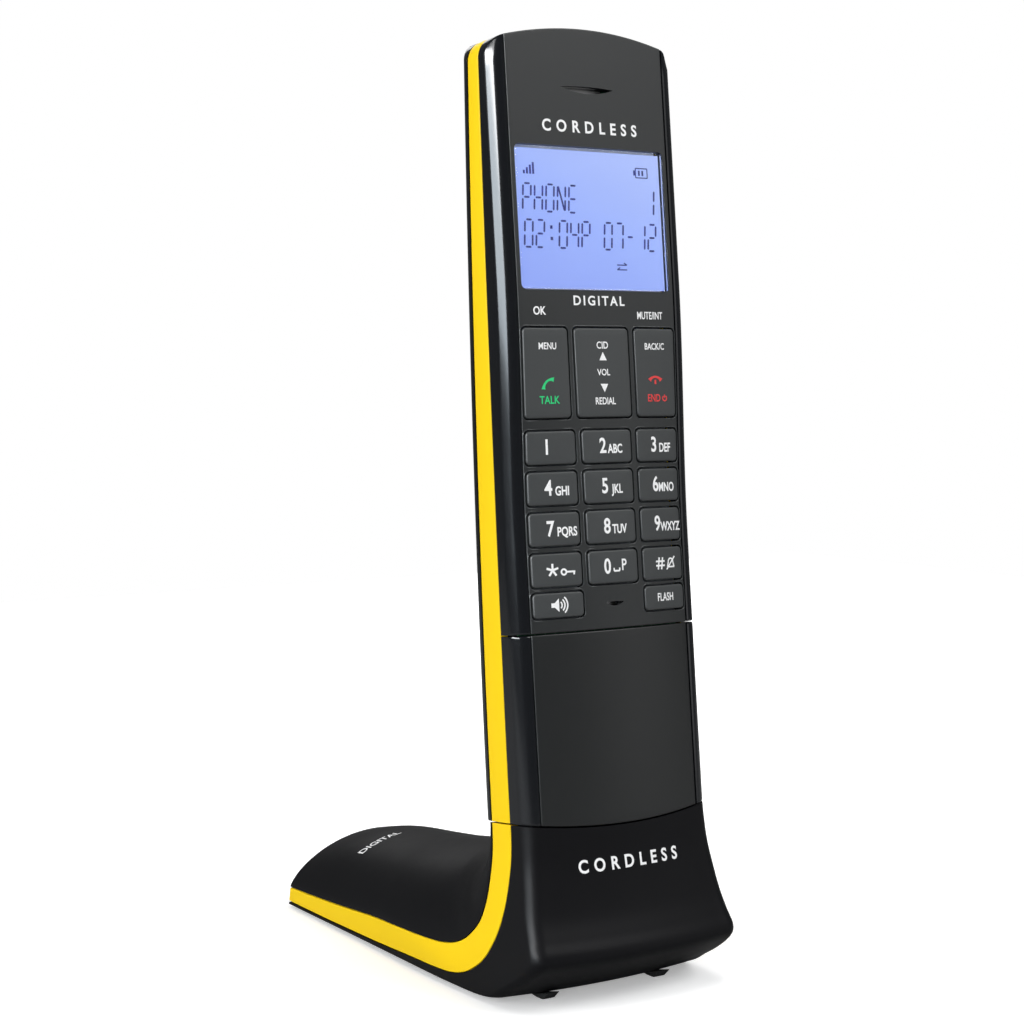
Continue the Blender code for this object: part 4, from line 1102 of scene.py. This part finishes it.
def node_group(name, inputs, outputs):
    """A shader group with its sockets made from (name, kind, default) rows, and its two end nodes."""
    group = bpy.data.node_groups.new(name, "ShaderNodeTree")
    for direction, rows in (("INPUT", inputs), ("OUTPUT", outputs)):
        for label, kind, default in rows:
            made = group.interface.new_socket(name=label, in_out=direction, socket_type="NodeSocket" + kind)
            if default is not None:
                made.default_value = default
    where = group.nodes.new("ShaderNodeTexCoord").outputs["Object"]
    return group, group.nodes.new("NodeGroupInput"), group.nodes.new("NodeGroupOutput"), where


def moulded_group():
    """Moulded plastic: two close colours clouded together, a wandering roughness, and a spark-eroded
    grain."""
    group, entry, end, where = node_group(
        "Moulded plastic",
        (("Color", "Color", (0.05, 0.05, 0.05, 1)), ("Clouded Color", "Color", (0.04, 0.04, 0.04, 1)),
         ("Cloud Scale", "Float", 60.0), ("Roughness", "Float", 0.4), ("Roughness Spread", "Float", 0.1),
         ("Grain Scale", "Float", 4000.0)),
        (("Color", "Color", None), ("Roughness", "Float", None), ("Height", "Float", None)))
    mix = group.nodes.new("ShaderNodeMix")
    mix.data_type = "RGBA"
    group.links.new(noise(group, where, entry.outputs["Cloud Scale"]), mix.inputs["Factor"])
    group.links.new(entry.outputs["Color"], mix.inputs["A"])
    group.links.new(entry.outputs["Clouded Color"], mix.inputs["B"])
    group.links.new(mix.outputs["Result"], end.inputs["Color"])
    wander = maths(group, "SUBTRACT", noise(group, where, 140.0, 4.0), 0.5)
    wander = maths(group, "MULTIPLY", wander, entry.outputs["Roughness Spread"])
    group.links.new(maths(group, "ADD", wander, entry.outputs["Roughness"]), end.inputs["Roughness"])
    group.links.new(noise(group, where, entry.outputs["Grain Scale"], 2.0), end.inputs["Height"])


def handling_group():
    """Handling: soft smears and fine rubbed lines that raise the roughness of a polished surface."""
    group, entry, end, where = node_group(
        "Handling marks",
        (("Roughness", "Float", 0.1), ("Smears", "Float", 0.1), ("Rubbing", "Float", 0.05)),
        (("Roughness", "Float", None),))
    smear = maths(group, "POWER", noise(group, where, 45.0, 5.0, 0.6), 3.0)
    lines = maths(group, "POWER", noise(group, stretched(group, (900.0, 900.0, 60.0)), 3.0, 2.0), 4.0)
    total = maths(group, "MULTIPLY", smear, entry.outputs["Smears"])
    total = maths(group, "ADD", total, maths(group, "MULTIPLY", lines, entry.outputs["Rubbing"]))
    group.links.new(maths(group, "ADD", total, entry.outputs["Roughness"]), end.inputs["Roughness"])


def finish(name, colour, clouded=None, roughness=0.4, spread=0.08, grain=4000.0, bump=0.03, cloud=60.0,
           handling=None, metallic=0.0, coat=0.0, ior=1.46):
    """A material from the moulded plastic group, with handling marks where a surface is polished."""
    made = bpy.data.materials.new(name)
    made.use_nodes = True
    tree = made.node_tree
    shader = tree.nodes["Principled BSDF"]
    body = tree.nodes.new("ShaderNodeGroup")
    body.node_tree = bpy.data.node_groups["Moulded plastic"]
    clouded = clouded or tuple(c * 0.82 for c in colour)
    values = ((*colour, 1), (*clouded, 1), cloud, roughness, spread, grain)
    for slot, value in zip(body.inputs, values):
        slot.default_value = value
    tree.links.new(body.outputs["Color"], shader.inputs["Base Color"])
    rough = body.outputs["Roughness"]
    if handling:
        marks = tree.nodes.new("ShaderNodeGroup")
        marks.node_tree = bpy.data.node_groups["Handling marks"]
        marks.inputs["Smears"].default_value, marks.inputs["Rubbing"].default_value = handling
        tree.links.new(rough, marks.inputs["Roughness"])
        rough = marks.outputs["Roughness"]
    tree.links.new(rough, shader.inputs["Roughness"])
    relief = tree.nodes.new("ShaderNodeBump")
    relief.inputs["Strength"].default_value = bump
    relief.inputs["Distance"].default_value = 0.0001
    tree.links.new(body.outputs["Height"], relief.inputs["Height"])
    tree.links.new(relief.outputs["Normal"], shader.inputs["Normal"])
    shader.inputs["Metallic"].default_value = metallic
    shader.inputs["IOR"].default_value = ior
    if coat:
        shader.inputs["Coat Weight"].default_value = coat
        shader.inputs["Coat Roughness"].default_value = 0.05
    return made


def along(tree, axis, low, high):
    """0 to 1 along one axis of the object's coordinates between two levels in metres."""
    where = tree.nodes.new("ShaderNodeSeparateXYZ")
    tree.links.new(tree.nodes.new("ShaderNodeTexCoord").outputs["Object"], where.inputs[0])
    span = tree.nodes.new("ShaderNodeMapRange")
    span.inputs["From Min"].default_value, span.inputs["From Max"].default_value = low, high
    tree.links.new(where.outputs[axis], span.inputs["Value"])
    return span.outputs["Result"]


def ramp(tree, factor, stops):
    """A colour ramp through (position, colour) stops."""
    node = tree.nodes.new("ShaderNodeValToRGB")
    while len(node.color_ramp.elements) < len(stops):
        node.color_ramp.elements.new(0.5)
    for element, (position, colour) in zip(node.color_ramp.elements, stops):
        element.position, element.color = position, (*colour, 1)
    tree.links.new(factor, node.inputs["Fac"])
    return node.outputs["Color"]


def display_finish(colour):
    """The backlit panel: brighter towards its upper right, with a fine dot structure."""
    made = finish("Backlit display", (0.02, 0.03, 0.05), roughness=0.35)
    tree, shader = made.node_tree, made.node_tree.nodes["Principled BSDF"]
    slope = maths(tree, "ADD", maths(tree, "MULTIPLY", along(tree, "X", -0.0204, 0.0204), 0.35),
                  maths(tree, "MULTIPLY", along(tree, "Z", 0.1602, 0.1925), 0.65))
    deep = tuple(c * k for c, k in zip(colour[:3], (0.78, 0.8, 0.94)))
    pale = tuple(min(1.0, c * k) for c, k in zip(colour[:3], (1.3, 1.2, 1.02)))
    glow = ramp(tree, slope, ((0.0, deep), (0.55, tuple(colour[:3])), (1.0, pale)))
    where = tree.nodes.new("ShaderNodeTexCoord").outputs["Object"]
    dots = maths(tree, "ADD", maths(tree, "MULTIPLY", noise(tree, where, 2500.0, 1.0), 0.1), 0.95)
    mix = tree.nodes.new("ShaderNodeMix")
    mix.data_type, mix.blend_type = "RGBA", "MULTIPLY"
    mix.inputs["Factor"].default_value = 1.0
    tree.links.new(glow, mix.inputs["A"])
    tree.links.new(dots, mix.inputs["B"])
    tree.links.new(mix.outputs["Result"], shader.inputs["Emission Color"])
    shader.inputs["Emission Strength"].default_value = 0.9


def window_finish():
    """The clear window: polished, and hardly bending the light that passes."""
    made = finish("Clear window", (1, 1, 1), (0.97, 0.98, 1), 0.0, 0.0, bump=0.0, ior=1.2)
    made.node_tree.nodes["Principled BSDF"].inputs["Transmission Weight"].default_value = 1.0


def cell_finish():
    """The cell's printed sleeve: a pale band and a dark end along its length."""
    made = finish("Cell sleeve", (0.04, 0.26, 0.13), roughness=0.28, handling=(0.1, 0.05))
    tree, shader = made.node_tree, made.node_tree.nodes["Principled BSDF"]
    green, pale, metal = (0.03, 0.24, 0.12), (0.75, 0.78, 0.74), (0.55, 0.54, 0.52)
    stops = ((0.0, metal), (0.03, green), (0.62, pale), (0.7, green), (0.93, metal), (1.0, metal))
    node_colour = ramp(tree, along(tree, "Z", 0.0595, 0.105), stops)
    tree.links.new(node_colour, shader.inputs["Base Color"])


def board_finish():
    """Circuit board: green lacquer with paler tracks in a fine brick pattern."""
    made = finish("Circuit board", (0.02, 0.16, 0.06), roughness=0.35, coat=0.3)
    tree, shader = made.node_tree, made.node_tree.nodes["Principled BSDF"]
    brick = tree.nodes.new("ShaderNodeTexBrick")
    brick.inputs["Color1"].default_value = (0.015, 0.13, 0.05, 1)
    brick.inputs["Color2"].default_value = (0.025, 0.18, 0.07, 1)
    brick.inputs["Mortar"].default_value = (0.1, 0.32, 0.14, 1)
    brick.inputs["Scale"].default_value = 180.0
    brick.inputs["Mortar Size"].default_value = 0.03
    tree.links.new(stretched(tree, (1, 0.3, 1)), brick.inputs["Vector"])
    tree.links.new(brick.outputs["Color"], shader.inputs["Base Color"])


def floor_finish():
    """The floor: pale near the object, where it takes a shadow, and as white as the surround further
    away. Other surfaces see a darker floor that doesn't glow."""
    made = finish("Pale floor", (0.93, 0.93, 0.93), (0.9, 0.9, 0.9), 0.9, 0.05, 300, 0.0, cloud=3.0)
    tree, shader = made.node_tree, made.node_tree.nodes["Principled BSDF"]
    shader.inputs["Emission Color"].default_value = (1, 1, 1, 1)
    away = tree.nodes.new("ShaderNodeVectorMath")
    away.operation = "LENGTH"
    tree.links.new(tree.nodes.new("ShaderNodeTexCoord").outputs["Object"], away.inputs[0])
    seen = tree.nodes.new("ShaderNodeLightPath").outputs["Is Camera Ray"]
    glow = maths(tree, "ADD", maths(tree, "MULTIPLY", away.outputs["Value"], 1.6), 0.25)
    glow = maths(tree, "MULTIPLY", maths(tree, "MINIMUM", glow, 1.0), seen)
    tree.links.new(glow, shader.inputs["Emission Strength"])
    shade = maths(tree, "ADD", maths(tree, "MULTIPLY", seen, 0.6), 0.33)
    tree.links.new(shade, shader.inputs["Base Color"])


def finishes():
    """Every material, from the colours in the finish settings."""
    props = bpy.context.scene.phone_finish
    moulded_group()
    handling_group()
    shell, plate, key, band = (tuple(c) for c in (props.shell, props.plate, props.key, props.band))
    finish("Gloss black", shell, tuple(c * 0.8 for c in shell), 0.13, 0.02, 6000, 0.01, handling=(0.08, 0.05))
    finish("Satin black", tuple(props.base), None, 0.38, 0.05, 7000, 0.05, handling=(0.1, 0.05), ior=1.17)
    finish("Satin charcoal", plate, tuple(c * 0.93 for c in plate), 0.4, 0.06, 9000, 0.06,
           handling=(0.06, 0.05))
    finish("Satin charcoal lower", tuple(c * 0.66 for c in plate), None, 0.36, 0.05, 9000, 0.06,
           handling=(0.08, 0.05))
    # Painted highlight: the plate's charcoal made 2.4 times lighter, for the beads round the key openings.
    finish("Bright charcoal edge", tuple(c * 2.4 for c in plate), None, 0.3, 0.05, 9000, 0.03)
    finish("Key rubber", key, tuple(c * 0.92 for c in key), 0.5, 0.06, 9000, 0.1)
    finish("Coloured gloss", band, tuple(c * 0.985 for c in band), 0.35, 0.05, 7000, 0.02,
           handling=(0.08, 0.05), ior=1.14)
    finish("White marking", (0.9, 0.9, 0.9), (0.82, 0.82, 0.82), 0.5, bump=0.0)
    finish("Green marking", (0.02, 0.62, 0.2), None, 0.5, bump=0.0)
    finish("Red marking", (0.78, 0.05, 0.05), None, 0.5, bump=0.0)
    finish("Display ink", (0.01, 0.016, 0.2), None, 0.5, bump=0.0)
    finish("Soft rubber", (0.02, 0.02, 0.02), (0.03, 0.03, 0.03), 0.82, 0.1, 2500, 0.4)
    finish("Silicone sheet", (0.26, 0.28, 0.3), None, 0.6, 0.1, 3000, 0.1)
    finish("White plastic", (0.78, 0.78, 0.76), None, 0.45, 0.08, 3500, 0.08)
    finish("Plated contact", (0.83, 0.72, 0.46), None, 0.22, 0.06, 5000, 0.02, metallic=1.0,
           handling=(0.2, 0.1))
    finish("Plated screw", (0.6, 0.6, 0.6), None, 0.28, 0.08, 4000, 0.05, metallic=1.0, handling=(0.2, 0.2))
    finish("Pressed steel", (0.5, 0.5, 0.51), (0.4, 0.4, 0.4), 0.4, 0.15, 2000, 0.1, metallic=1.0)
    floor_finish()
    display_finish(props.display)
    window_finish()
    cell_finish()
    board_finish()


INNER_FINISHES = {
    "White plastic": ("backlight_holder",),
    "Silicone sheet": ("key_membrane",),
    "Circuit board": ("handset_board", "base_board"),
    "Plated contact": ("battery_contact_upper", "battery_contact_lower", "charge_contact_left",
                       "charge_contact_right"),
    "Pressed steel": ("earpiece_receiver", "ringer_speaker", "microphone", "steel_weight"),
    "Satin black": ("handset_end_plate", "rear_panel", "line_socket", "power_socket"),
}


def inner_pieces():
    """The carried-over solids: each keeps its shape and takes a finish."""
    for look, names in INNER_FINISHES.items():
        for name in names:
            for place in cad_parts[name].material_slots:
                place.material = bpy.data.materials[look]


# ------------------------------------------------------------------ studio


def soft_box(name, place, aim, width, height, power, colour=(1, 1, 1)):
    """A rectangular area light at a place in metres, turned towards its aim."""
    light = bpy.data.lights.new(name, "AREA")
    light.shape, light.size, light.size_y = "RECTANGLE", width, height
    light.energy, light.color = power, colour
    holder = bpy.data.objects.new(name, light)
    holder.location = place
    holder.rotation_mode = "QUATERNION"
    holder.rotation_quaternion = (Vector(aim) - Vector(place)).to_track_quat("-Z", "Y")
    bpy.context.scene.collection.objects.link(holder)
    return holder


def studio():
    """A pale floor, a white surround, soft boxes, and the camera to the left of the front and a little
    above."""
    scene = bpy.context.scene
    props = scene.phone_stage
    size = props.floor_size / 2
    corners = np.array([[(x, y, 0) for x in (-size, size)] for y in (-size, size)])
    floor = piece("floor", [corners], None, "Pale floor", place=lambda p: np.asarray(p) - (0, 0, 0.00005))
    world = bpy.data.worlds.new("Studio surround")
    world.use_nodes = True
    tree = world.node_tree
    back_light = tree.nodes["Background"]
    seen = tree.nodes.new("ShaderNodeLightPath").outputs["Is Camera Ray"]
    mix = tree.nodes.new("ShaderNodeMix")
    mix.data_type = "RGBA"
    mix.inputs["A"].default_value = (props.surround,) * 3 + (1,)
    mix.inputs["B"].default_value = (1, 1, 1, 1)
    tree.links.new(seen, mix.inputs["Factor"])
    tree.links.new(mix.outputs["Result"], back_light.inputs["Color"])
    scene.world = world
    k = props.light
    soft_box("key light", (0.7, -0.95, 1.15), (0, 0, 0.12), 0.8, 0.6, 12 * k)
    for name, height, tall, power, tint in (("left upper sheen", 0.62, 0.34, 42, (0.98, 0.99, 1)),
                                            ("left middle sheen", 0.33, 0.24, 12, (0.82, 0.92, 1))):
        sheen = soft_box(name, (-1.0, -0.18, height), (0, -0.03, height - 0.25), 1.1, tall, power * k, tint)
        sheen.visible_diffuse = False
    fill = soft_box("left fill light", (-0.85, -0.8, 0.25), (0, 0, 0.1), 0.8, 0.9, 8.0 * k, (0.94, 0.97, 1))
    side = soft_box("left side light", (-1.1, 0.05, 0.35), (0, 0, 0.1), 0.8, 0.8, 6.6 * k)
    fill.visible_glossy = side.visible_glossy = False
    soft_box("right fill light", (0.75, -0.85, 0.25), (0, 0, 0.1), 0.5, 0.7, 1.0 * k)
    top = soft_box("top light", (-0.1, -0.2, 1.3), (0, 0, 0), 0.9, 0.9, 6.5 * k)
    top.visible_glossy = False
    soft_box("rear light", (0.5, 1.1, 0.9), (0, 0, 0.1), 0.8, 0.6, 3 * k)
    lens = bpy.data.cameras.new("camera")
    lens.lens, lens.sensor_width = 75.6, 36.0
    lens.clip_start, lens.clip_end = 0.01, 50
    camera = bpy.data.objects.new("camera", lens)
    azimuth, above = radians(-34.0), radians(3.996)
    camera.location = (-0.2935, -0.4419, 0.1456)
    back_way = Vector((sin(azimuth) * cos(above), -cos(azimuth) * cos(above), sin(above)))
    camera.rotation_mode = "QUATERNION"
    camera.rotation_quaternion = (-back_way).to_track_quat("-Z", "Y")
    scene.collection.objects.link(camera)
    scene.camera = camera
    scene.view_settings.view_transform = "Standard"


# ------------------------------------------------------------------ settings, operators and panel


def colour(name, description, default):
    """A colour setting with its default."""
    return bpy.props.FloatVectorProperty(
        name=name, description=description, default=default, subtype="COLOR", size=3, min=0, max=1)


class PhoneFinish(bpy.types.PropertyGroup):
    """Colours and sizes of the phone's finishes."""

    band: colour("Band", "Colour of the bands round the handset and the base", (0.98, 0.66, 0.012))
    shell: colour("Shell", "Colour of the handset's glossy housings", (0.006, 0.007, 0.009))
    base: colour("Base", "Colour of the base's satin shells", (0.007, 0.007, 0.008))
    plate: colour("Faceplate", "Colour of the keypad's faceplate", (0.0155, 0.0172, 0.0178))
    key: colour("Keys", "Colour of the keys", (0.040, 0.0435, 0.0445))
    display: colour("Display", "Colour of the display's backlight", (0.33, 0.45, 0.99))
    key_gap: bpy.props.FloatProperty(
        name="Key Gap", description="Clearance between a key and its opening", default=0.0004, min=0.0002,
        max=0.0004, unit="LENGTH")


class PhoneStage(bpy.types.PropertyGroup):
    """Sizes and strengths of the studio."""

    floor_size: bpy.props.FloatProperty(
        name="Floor Size", description="Length of the floor's sides", default=1.6, min=1.0, unit="LENGTH")
    light: bpy.props.FloatProperty(
        name="Light", description="Factor on the power of every soft box", default=1.0, min=0.0)
    surround: bpy.props.FloatProperty(
        name="Surround", description="Brightness of the surround as the object sees it", default=0.12,
        min=0.0)


class BuildSteps:
    """What every operator does: it runs its steps in order. A step that can't finish raises its error."""

    def execute(self, context):
        for step in self.steps:
            step()
        return {"FINISHED"}


class PHONE_OT_finishes(BuildSteps, bpy.types.Operator):
    """Makes every material from the finish settings."""

    bl_idname = "phone.finishes"
    bl_label = "Finishes"
    steps = (finishes,)


class PHONE_OT_front_housings(BuildSteps, bpy.types.Operator):
    """Builds the glossy upper and lower front housings."""

    bl_idname = "phone.front_housings"
    bl_label = "Front Housings"
    steps = (front_housings,)


class PHONE_OT_faceplates(BuildSteps, bpy.types.Operator):
    """Builds the keypad plate, the beads round its openings and the lower plate."""

    bl_idname = "phone.faceplates"
    bl_label = "Faceplates"
    steps = (faceplates,)


class PHONE_OT_handset_band(BuildSteps, bpy.types.Operator):
    """Builds the coloured band round the handset."""

    bl_idname = "phone.handset_band"
    bl_label = "Handset Band"
    steps = (handset_band,)


class PHONE_OT_rear_cover(BuildSteps, bpy.types.Operator):
    """Builds the rear cover and the battery door."""

    bl_idname = "phone.rear_cover"
    bl_label = "Rear Cover"
    steps = (rear_cover,)


class PHONE_OT_keys(BuildSteps, bpy.types.Operator):
    """Builds every key of the keypad."""

    bl_idname = "phone.keys"
    bl_label = "Keys"
    steps = (keys,)


class PHONE_OT_display(BuildSteps, bpy.types.Operator):
    """Builds the display's panel, its characters and the window."""

    bl_idname = "phone.display"
    bl_label = "Display"
    steps = (display,)


class PHONE_OT_markings(BuildSteps, bpy.types.Operator):
    """Lays the numbers, letters and signs on the keys, plate, base and foot."""

    bl_idname = "phone.markings"
    bl_label = "Markings"
    steps = (markings,)


class PHONE_OT_base_housing(BuildSteps, bpy.types.Operator):
    """Builds the base's shells and coloured bands."""

    bl_idname = "phone.base_housing"
    bl_label = "Base Housing"
    steps = (base_housing,)


class PHONE_OT_page_button(BuildSteps, bpy.types.Operator):
    """Builds the dished page button."""

    bl_idname = "phone.page_button"
    bl_label = "Page Button"
    steps = (page_button,)


class PHONE_OT_feet(BuildSteps, bpy.types.Operator):
    """Builds the rubber feet."""

    bl_idname = "phone.feet"
    bl_label = "Feet"
    steps = (feet,)


class PHONE_OT_screws(BuildSteps, bpy.types.Operator):
    """Builds the cross-head screws."""

    bl_idname = "phone.screws"
    bl_label = "Screws"
    steps = (screws,)


class PHONE_OT_charging(BuildSteps, bpy.types.Operator):
    """Builds the docking tongue, the charging pins, the cells and the socket's wires."""

    bl_idname = "phone.charging"
    bl_label = "Charging Parts"
    steps = (docking_tongue, charging_pins, battery_cells, line_contacts)


class PHONE_OT_inner_pieces(BuildSteps, bpy.types.Operator):
    """Gives the carried-over solids their finishes."""

    bl_idname = "phone.inner_pieces"
    bl_label = "Inner Pieces"
    steps = (inner_pieces,)


class PHONE_OT_studio(BuildSteps, bpy.types.Operator):
    """Sets up the floor, the lights, the surround and the camera."""

    bl_idname = "phone.studio"
    bl_label = "Studio"
    steps = (studio,)


class PHONE_PT_build(bpy.types.Panel):
    """Lists the phone's settings and the operators that build it, in their order."""

    bl_idname = "PHONE_PT_build"
    bl_label = "Cordless Phone"
    bl_space_type = "VIEW_3D"
    bl_region_type = "UI"
    bl_category = "Phone"

    def draw(self, context):
        for settings in (context.scene.phone_finish, context.scene.phone_stage):
            for name in settings.__annotations__:
                self.layout.prop(settings, name)
        for operator in OPERATORS:
            self.layout.operator(operator.bl_idname)


OPERATORS = (
    PHONE_OT_finishes,
    PHONE_OT_front_housings,
    PHONE_OT_faceplates,
    PHONE_OT_handset_band,
    PHONE_OT_rear_cover,
    PHONE_OT_keys,
    PHONE_OT_display,
    PHONE_OT_markings,
    PHONE_OT_base_housing,
    PHONE_OT_page_button,
    PHONE_OT_feet,
    PHONE_OT_screws,
    PHONE_OT_charging,
    PHONE_OT_inner_pieces,
    PHONE_OT_studio,
)
CLASSES = (PhoneFinish, PhoneStage, *OPERATORS, PHONE_PT_build)


def register():
    for cls in CLASSES:
        bpy.utils.register_class(cls)
    bpy.types.Scene.phone_finish = bpy.props.PointerProperty(type=PhoneFinish)
    bpy.types.Scene.phone_stage = bpy.props.PointerProperty(type=PhoneStage)


def unregister():
    del bpy.types.Scene.phone_stage
    del bpy.types.Scene.phone_finish
    for cls in reversed(CLASSES):
        bpy.utils.unregister_class(cls)


def main():
    """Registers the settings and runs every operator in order."""
    register()
    for operator in OPERATORS:
        group, name = operator.bl_idname.split(".")
        if getattr(getattr(bpy.ops, group), name)() != {"FINISHED"}:
            raise RuntimeError(f"{operator.bl_idname} didn't finish")


if __name__ == "__main__":
    main()
